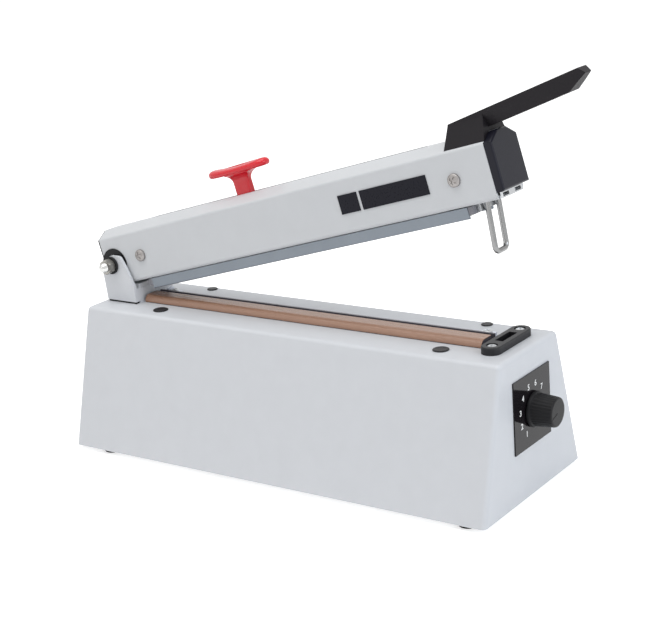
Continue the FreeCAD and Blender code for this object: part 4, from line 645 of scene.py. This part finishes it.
CAP_LOW, CAP_HALF, CAP_WIDE, FLARE = 35.1, 23.0, 7.5, 5.6
STEM_STEPS = ((-2, 4, 1.6), (17, 4, 1.6), (17, 6.5, 3.5), (20.5, 6.5, 3.5), (20.5, 6, 2.4), (27, 6, 2.4))
CAP_STEPS = ((6.8, 0), (4, 0), (2, 0.05), (1, 0.25), (0.4, 0.7), (0.08, 1.3), (0, 1.8), (0.15, 2.3), (0.6, 2.9),
             (1.4, 3.4), (2.6, 3.8), (4.2, 4.05), (5.6, 4.15), (6.8, 4.2))
stem_rings = [(n, half_u, half_y, 6) for n, half_u, half_y in STEM_STEPS]
for rise in np.linspace(0, 0.94, 14) * FLARE:
    spread = FLARE - math.sqrt(FLARE ** 2 - rise ** 2)
    stem_rings.append((CAP_LOW - FLARE + rise, 6 + spread, 2.4 + 1.15 * spread, 6 - 2.5 * rise / FLARE))
stem_rings.append((CAP_LOW + 1.5, 11, 6.9, 3))
stem = np.stack([arm_points(CUTTER_U + oval(u, y, p)[0], CUTTER_Y + oval(u, y, p)[1], n)
                 for n, u, y, p in stem_rings])
cap_rings = []
for inset, n in CAP_STEPS:
    u, y = oval(CAP_HALF - inset, CAP_WIDE - inset, 2.7)
    dish = 1.6 * (u / CAP_HALF) ** 2 * np.clip(n / 4, 0.15, 1)
    cap_rings.append(arm_points(CUTTER_U + u, CUTTER_Y + y, CAP_LOW + n + dish))
skin("cutter_push_knob", [stem, np.stack(cap_rings)], red_plastic, "cutter", ["cutter_knob"])


# Right end of the arm: a black moulded cap pushed into the cover, and a zinc plate with two slots under it.
# A loop of bent steel wire hangs from the plate, and the latch in the base holds it while the seal cools.

end_moulding = finish("end_moulding", ink(21, 21, 32), 0.05, 0.36, 0.05, 1400, 0.2, Specular_IOR_Level=0.23)
dress(end_moulding, "end_cap")
dress(zinc, "loop_anchor_plate")
LOOP_U, LOOP_Y, LOOP_TOP, LOOP_LEAN = 274.9, 1.2, -12.0, math.radians(6.2)
LOOP_HALF, LOOP_BEND, LOOP_DROP, LOOP_WIRE = 6.1, 3.2, 30.75, 1.6


def loop_line():
    """Middle of the wire: down one leg, round a quarter bend, across the foot, round another and up."""
    swing = np.linspace(0, np.pi / 2, 12)
    leg = np.array([[-LOOP_HALF, drop] for drop in (0.3, -6, -12, -18, -24)])
    bend = np.column_stack([-LOOP_HALF + LOOP_BEND * (1 - np.cos(swing)),
                            -LOOP_DROP + LOOP_BEND * (1 - np.sin(swing))])
    first = np.concatenate([leg, bend])
    return np.concatenate([first, first[::-1] * [-1, 1]])


path = loop_line()
ahead = np.gradient(path, axis=0)
ahead /= np.linalg.norm(ahead, axis=1, keepdims=True)
angle = np.linspace(0, 2 * np.pi, 24, endpoint=False)
across = LOOP_WIRE * np.cos(angle)
local_y = path[:, 0, None] - ahead[:, 1, None] * across
local_n = path[:, 1, None] + ahead[:, 0, None] * across
local_u = np.broadcast_to(LOOP_WIRE * np.sin(angle), local_y.shape)
loop_u = LOOP_U + local_u * math.cos(LOOP_LEAN) + local_n * math.sin(LOOP_LEAN)
loop_n = LOOP_TOP - local_u * math.sin(LOOP_LEAN) + local_n * math.cos(LOOP_LEAN)
wire_steel = finish("wire_steel", ink(146, 146, 146), 0.06, 0.2, 0.05, 1100, 0.12, metal=1.0)
wire = arm_points(loop_u, LOOP_Y + local_y, loop_n)
skin("latch_wire_loop", [wire], wire_steel, "arm", ["latch_loop"])


# Handle: a black moulded lever with a flared saddle on the arm's folds and a tapered grip, hollow below.
# Two screws from inside the arm hold it.

dress(plated_screw, "handle_screws")
SADDLE_LEFT, SADDLE_RIGHT, SADDLE_LOW, SADDLE_HALF = 262.0, 288.0, 17.9, 13.2
CREST_LEFT, CREST_RISE, GRIP_CREST_U, GRIP_CREST_RISE = 265.6, 31.0, 347.3, 41.8
NOSE_U, NOSE_RISE, HEEL_U, HEEL_RISE = 350.2, 38.4, 339.8, 30.9
ROOT_RISE, ROOT_HALF, HEEL_HALF, NOSE_HALF, SCOOP, SCOOP_END = 24.3, 8.0, 5.4, 3.4, 3.5, 312.0
CREST_SLOPE = (GRIP_CREST_RISE - CREST_RISE) / (GRIP_CREST_U - CREST_LEFT)


def crest_at(u):
    return CREST_RISE + (u - CREST_LEFT) * CREST_SLOPE


def under_at(u):
    return float(np.interp(u, (SADDLE_RIGHT, HEEL_U), (ROOT_RISE, HEEL_RISE)))


def half_at(u):
    return float(np.interp(u, (SADDLE_RIGHT, HEEL_U, NOSE_U), (ROOT_HALF, HEEL_HALF, NOSE_HALF)))


def handle_ring(u_low, u_high, foot, foot_n, half, waist_n, top_n, inner, inner_n, hollow, hollow_n):
    """Ten corners of the handle's section: foot, waist and top on both sides, then the hollow underside."""
    y = np.array([-foot, -half, -half, half, half, foot, inner, hollow, -hollow, -inner])
    n = np.array([foot_n, waist_n, top_n, top_n, waist_n, foot_n, inner_n, hollow_n, hollow_n, inner_n])
    u = u_low + (u_high - u_low) * np.clip((n - foot_n) / max(top_n - foot_n, 1e-6), 0, 1)
    return arm_points(u, y, n)


def grip_ring(u, hollow_n=None):
    """Section of the grip, whose lower half is scooped in near the saddle, the less the farther from it."""
    low, top, half = under_at(u), crest_at(u), half_at(u)
    scoop = float(np.clip((SCOOP_END - u) / (SCOOP_END - SADDLE_RIGHT), 0, 1))
    waist = low + (0.5 + 0.3 * scoop) * (top - low)
    return handle_ring(u, u, half - SCOOP * scoop, low, half, waist, top, 4.0, low, 3.9, hollow_n or low)


ROOF_N, ROOF_HALF, HOLLOW_LEFT, HOLLOW_RIGHT = 22.1, 5.8, 294.0, 330.0
rings = [
    handle_ring(SADDLE_LEFT, CREST_LEFT, SADDLE_HALF, SADDLE_LOW, ROOT_HALF, CREST_RISE - 0.6, CREST_RISE,
                ROOF_HALF, ROOF_N, 3.9, ROOF_N),
    handle_ring(SADDLE_RIGHT, SADDLE_RIGHT, SADDLE_HALF, SADDLE_LOW, ROOT_HALF, CREST_RISE - 0.6,
                crest_at(SADDLE_RIGHT), ROOF_HALF, ROOF_N, 3.9, ROOF_N),
    grip_ring(SADDLE_RIGHT), grip_ring(HOLLOW_LEFT), grip_ring(HOLLOW_LEFT, 31.0), grip_ring(300.0, 31.9),
    grip_ring(306.0, 32.8), grip_ring(HOLLOW_RIGHT, 36.4), grip_ring(HOLLOW_RIGHT), grip_ring(HEEL_U),
    handle_ring(345.0, GRIP_CREST_U, 5.0, 34.6, 5.0, 38.4, GRIP_CREST_RISE, 4.0, 34.6, 3.9, 34.6),
    handle_ring(NOSE_U, NOSE_U, NOSE_HALF, NOSE_RISE - 0.2, NOSE_HALF, NOSE_RISE, NOSE_RISE + 0.2,
                3.2, NOSE_RISE - 0.2, 3.1, NOSE_RISE - 0.2),
]
handle_moulding = finish("handle_moulding", ink(26, 23, 27), 0.05, 0.5, 0.05, 1300, 0.3,
                         Specular_IOR_Level=0.21)
skin("lever_handle", [np.stack(rings)], handle_moulding, "arm", ["handle"], sharp=8,
     edge=0.6 * MM)


# Plates on the arm's front: a short and a long black anodised plate of thin sheet.
# They are glued on and left plain.

plate_black = finish("plate_black", ink(20, 20, 30), 0.04, 0.3, 0.05, 1300, 0.08, Specular_IOR_Level=0.15)
dress(plate_black, "name_plates")
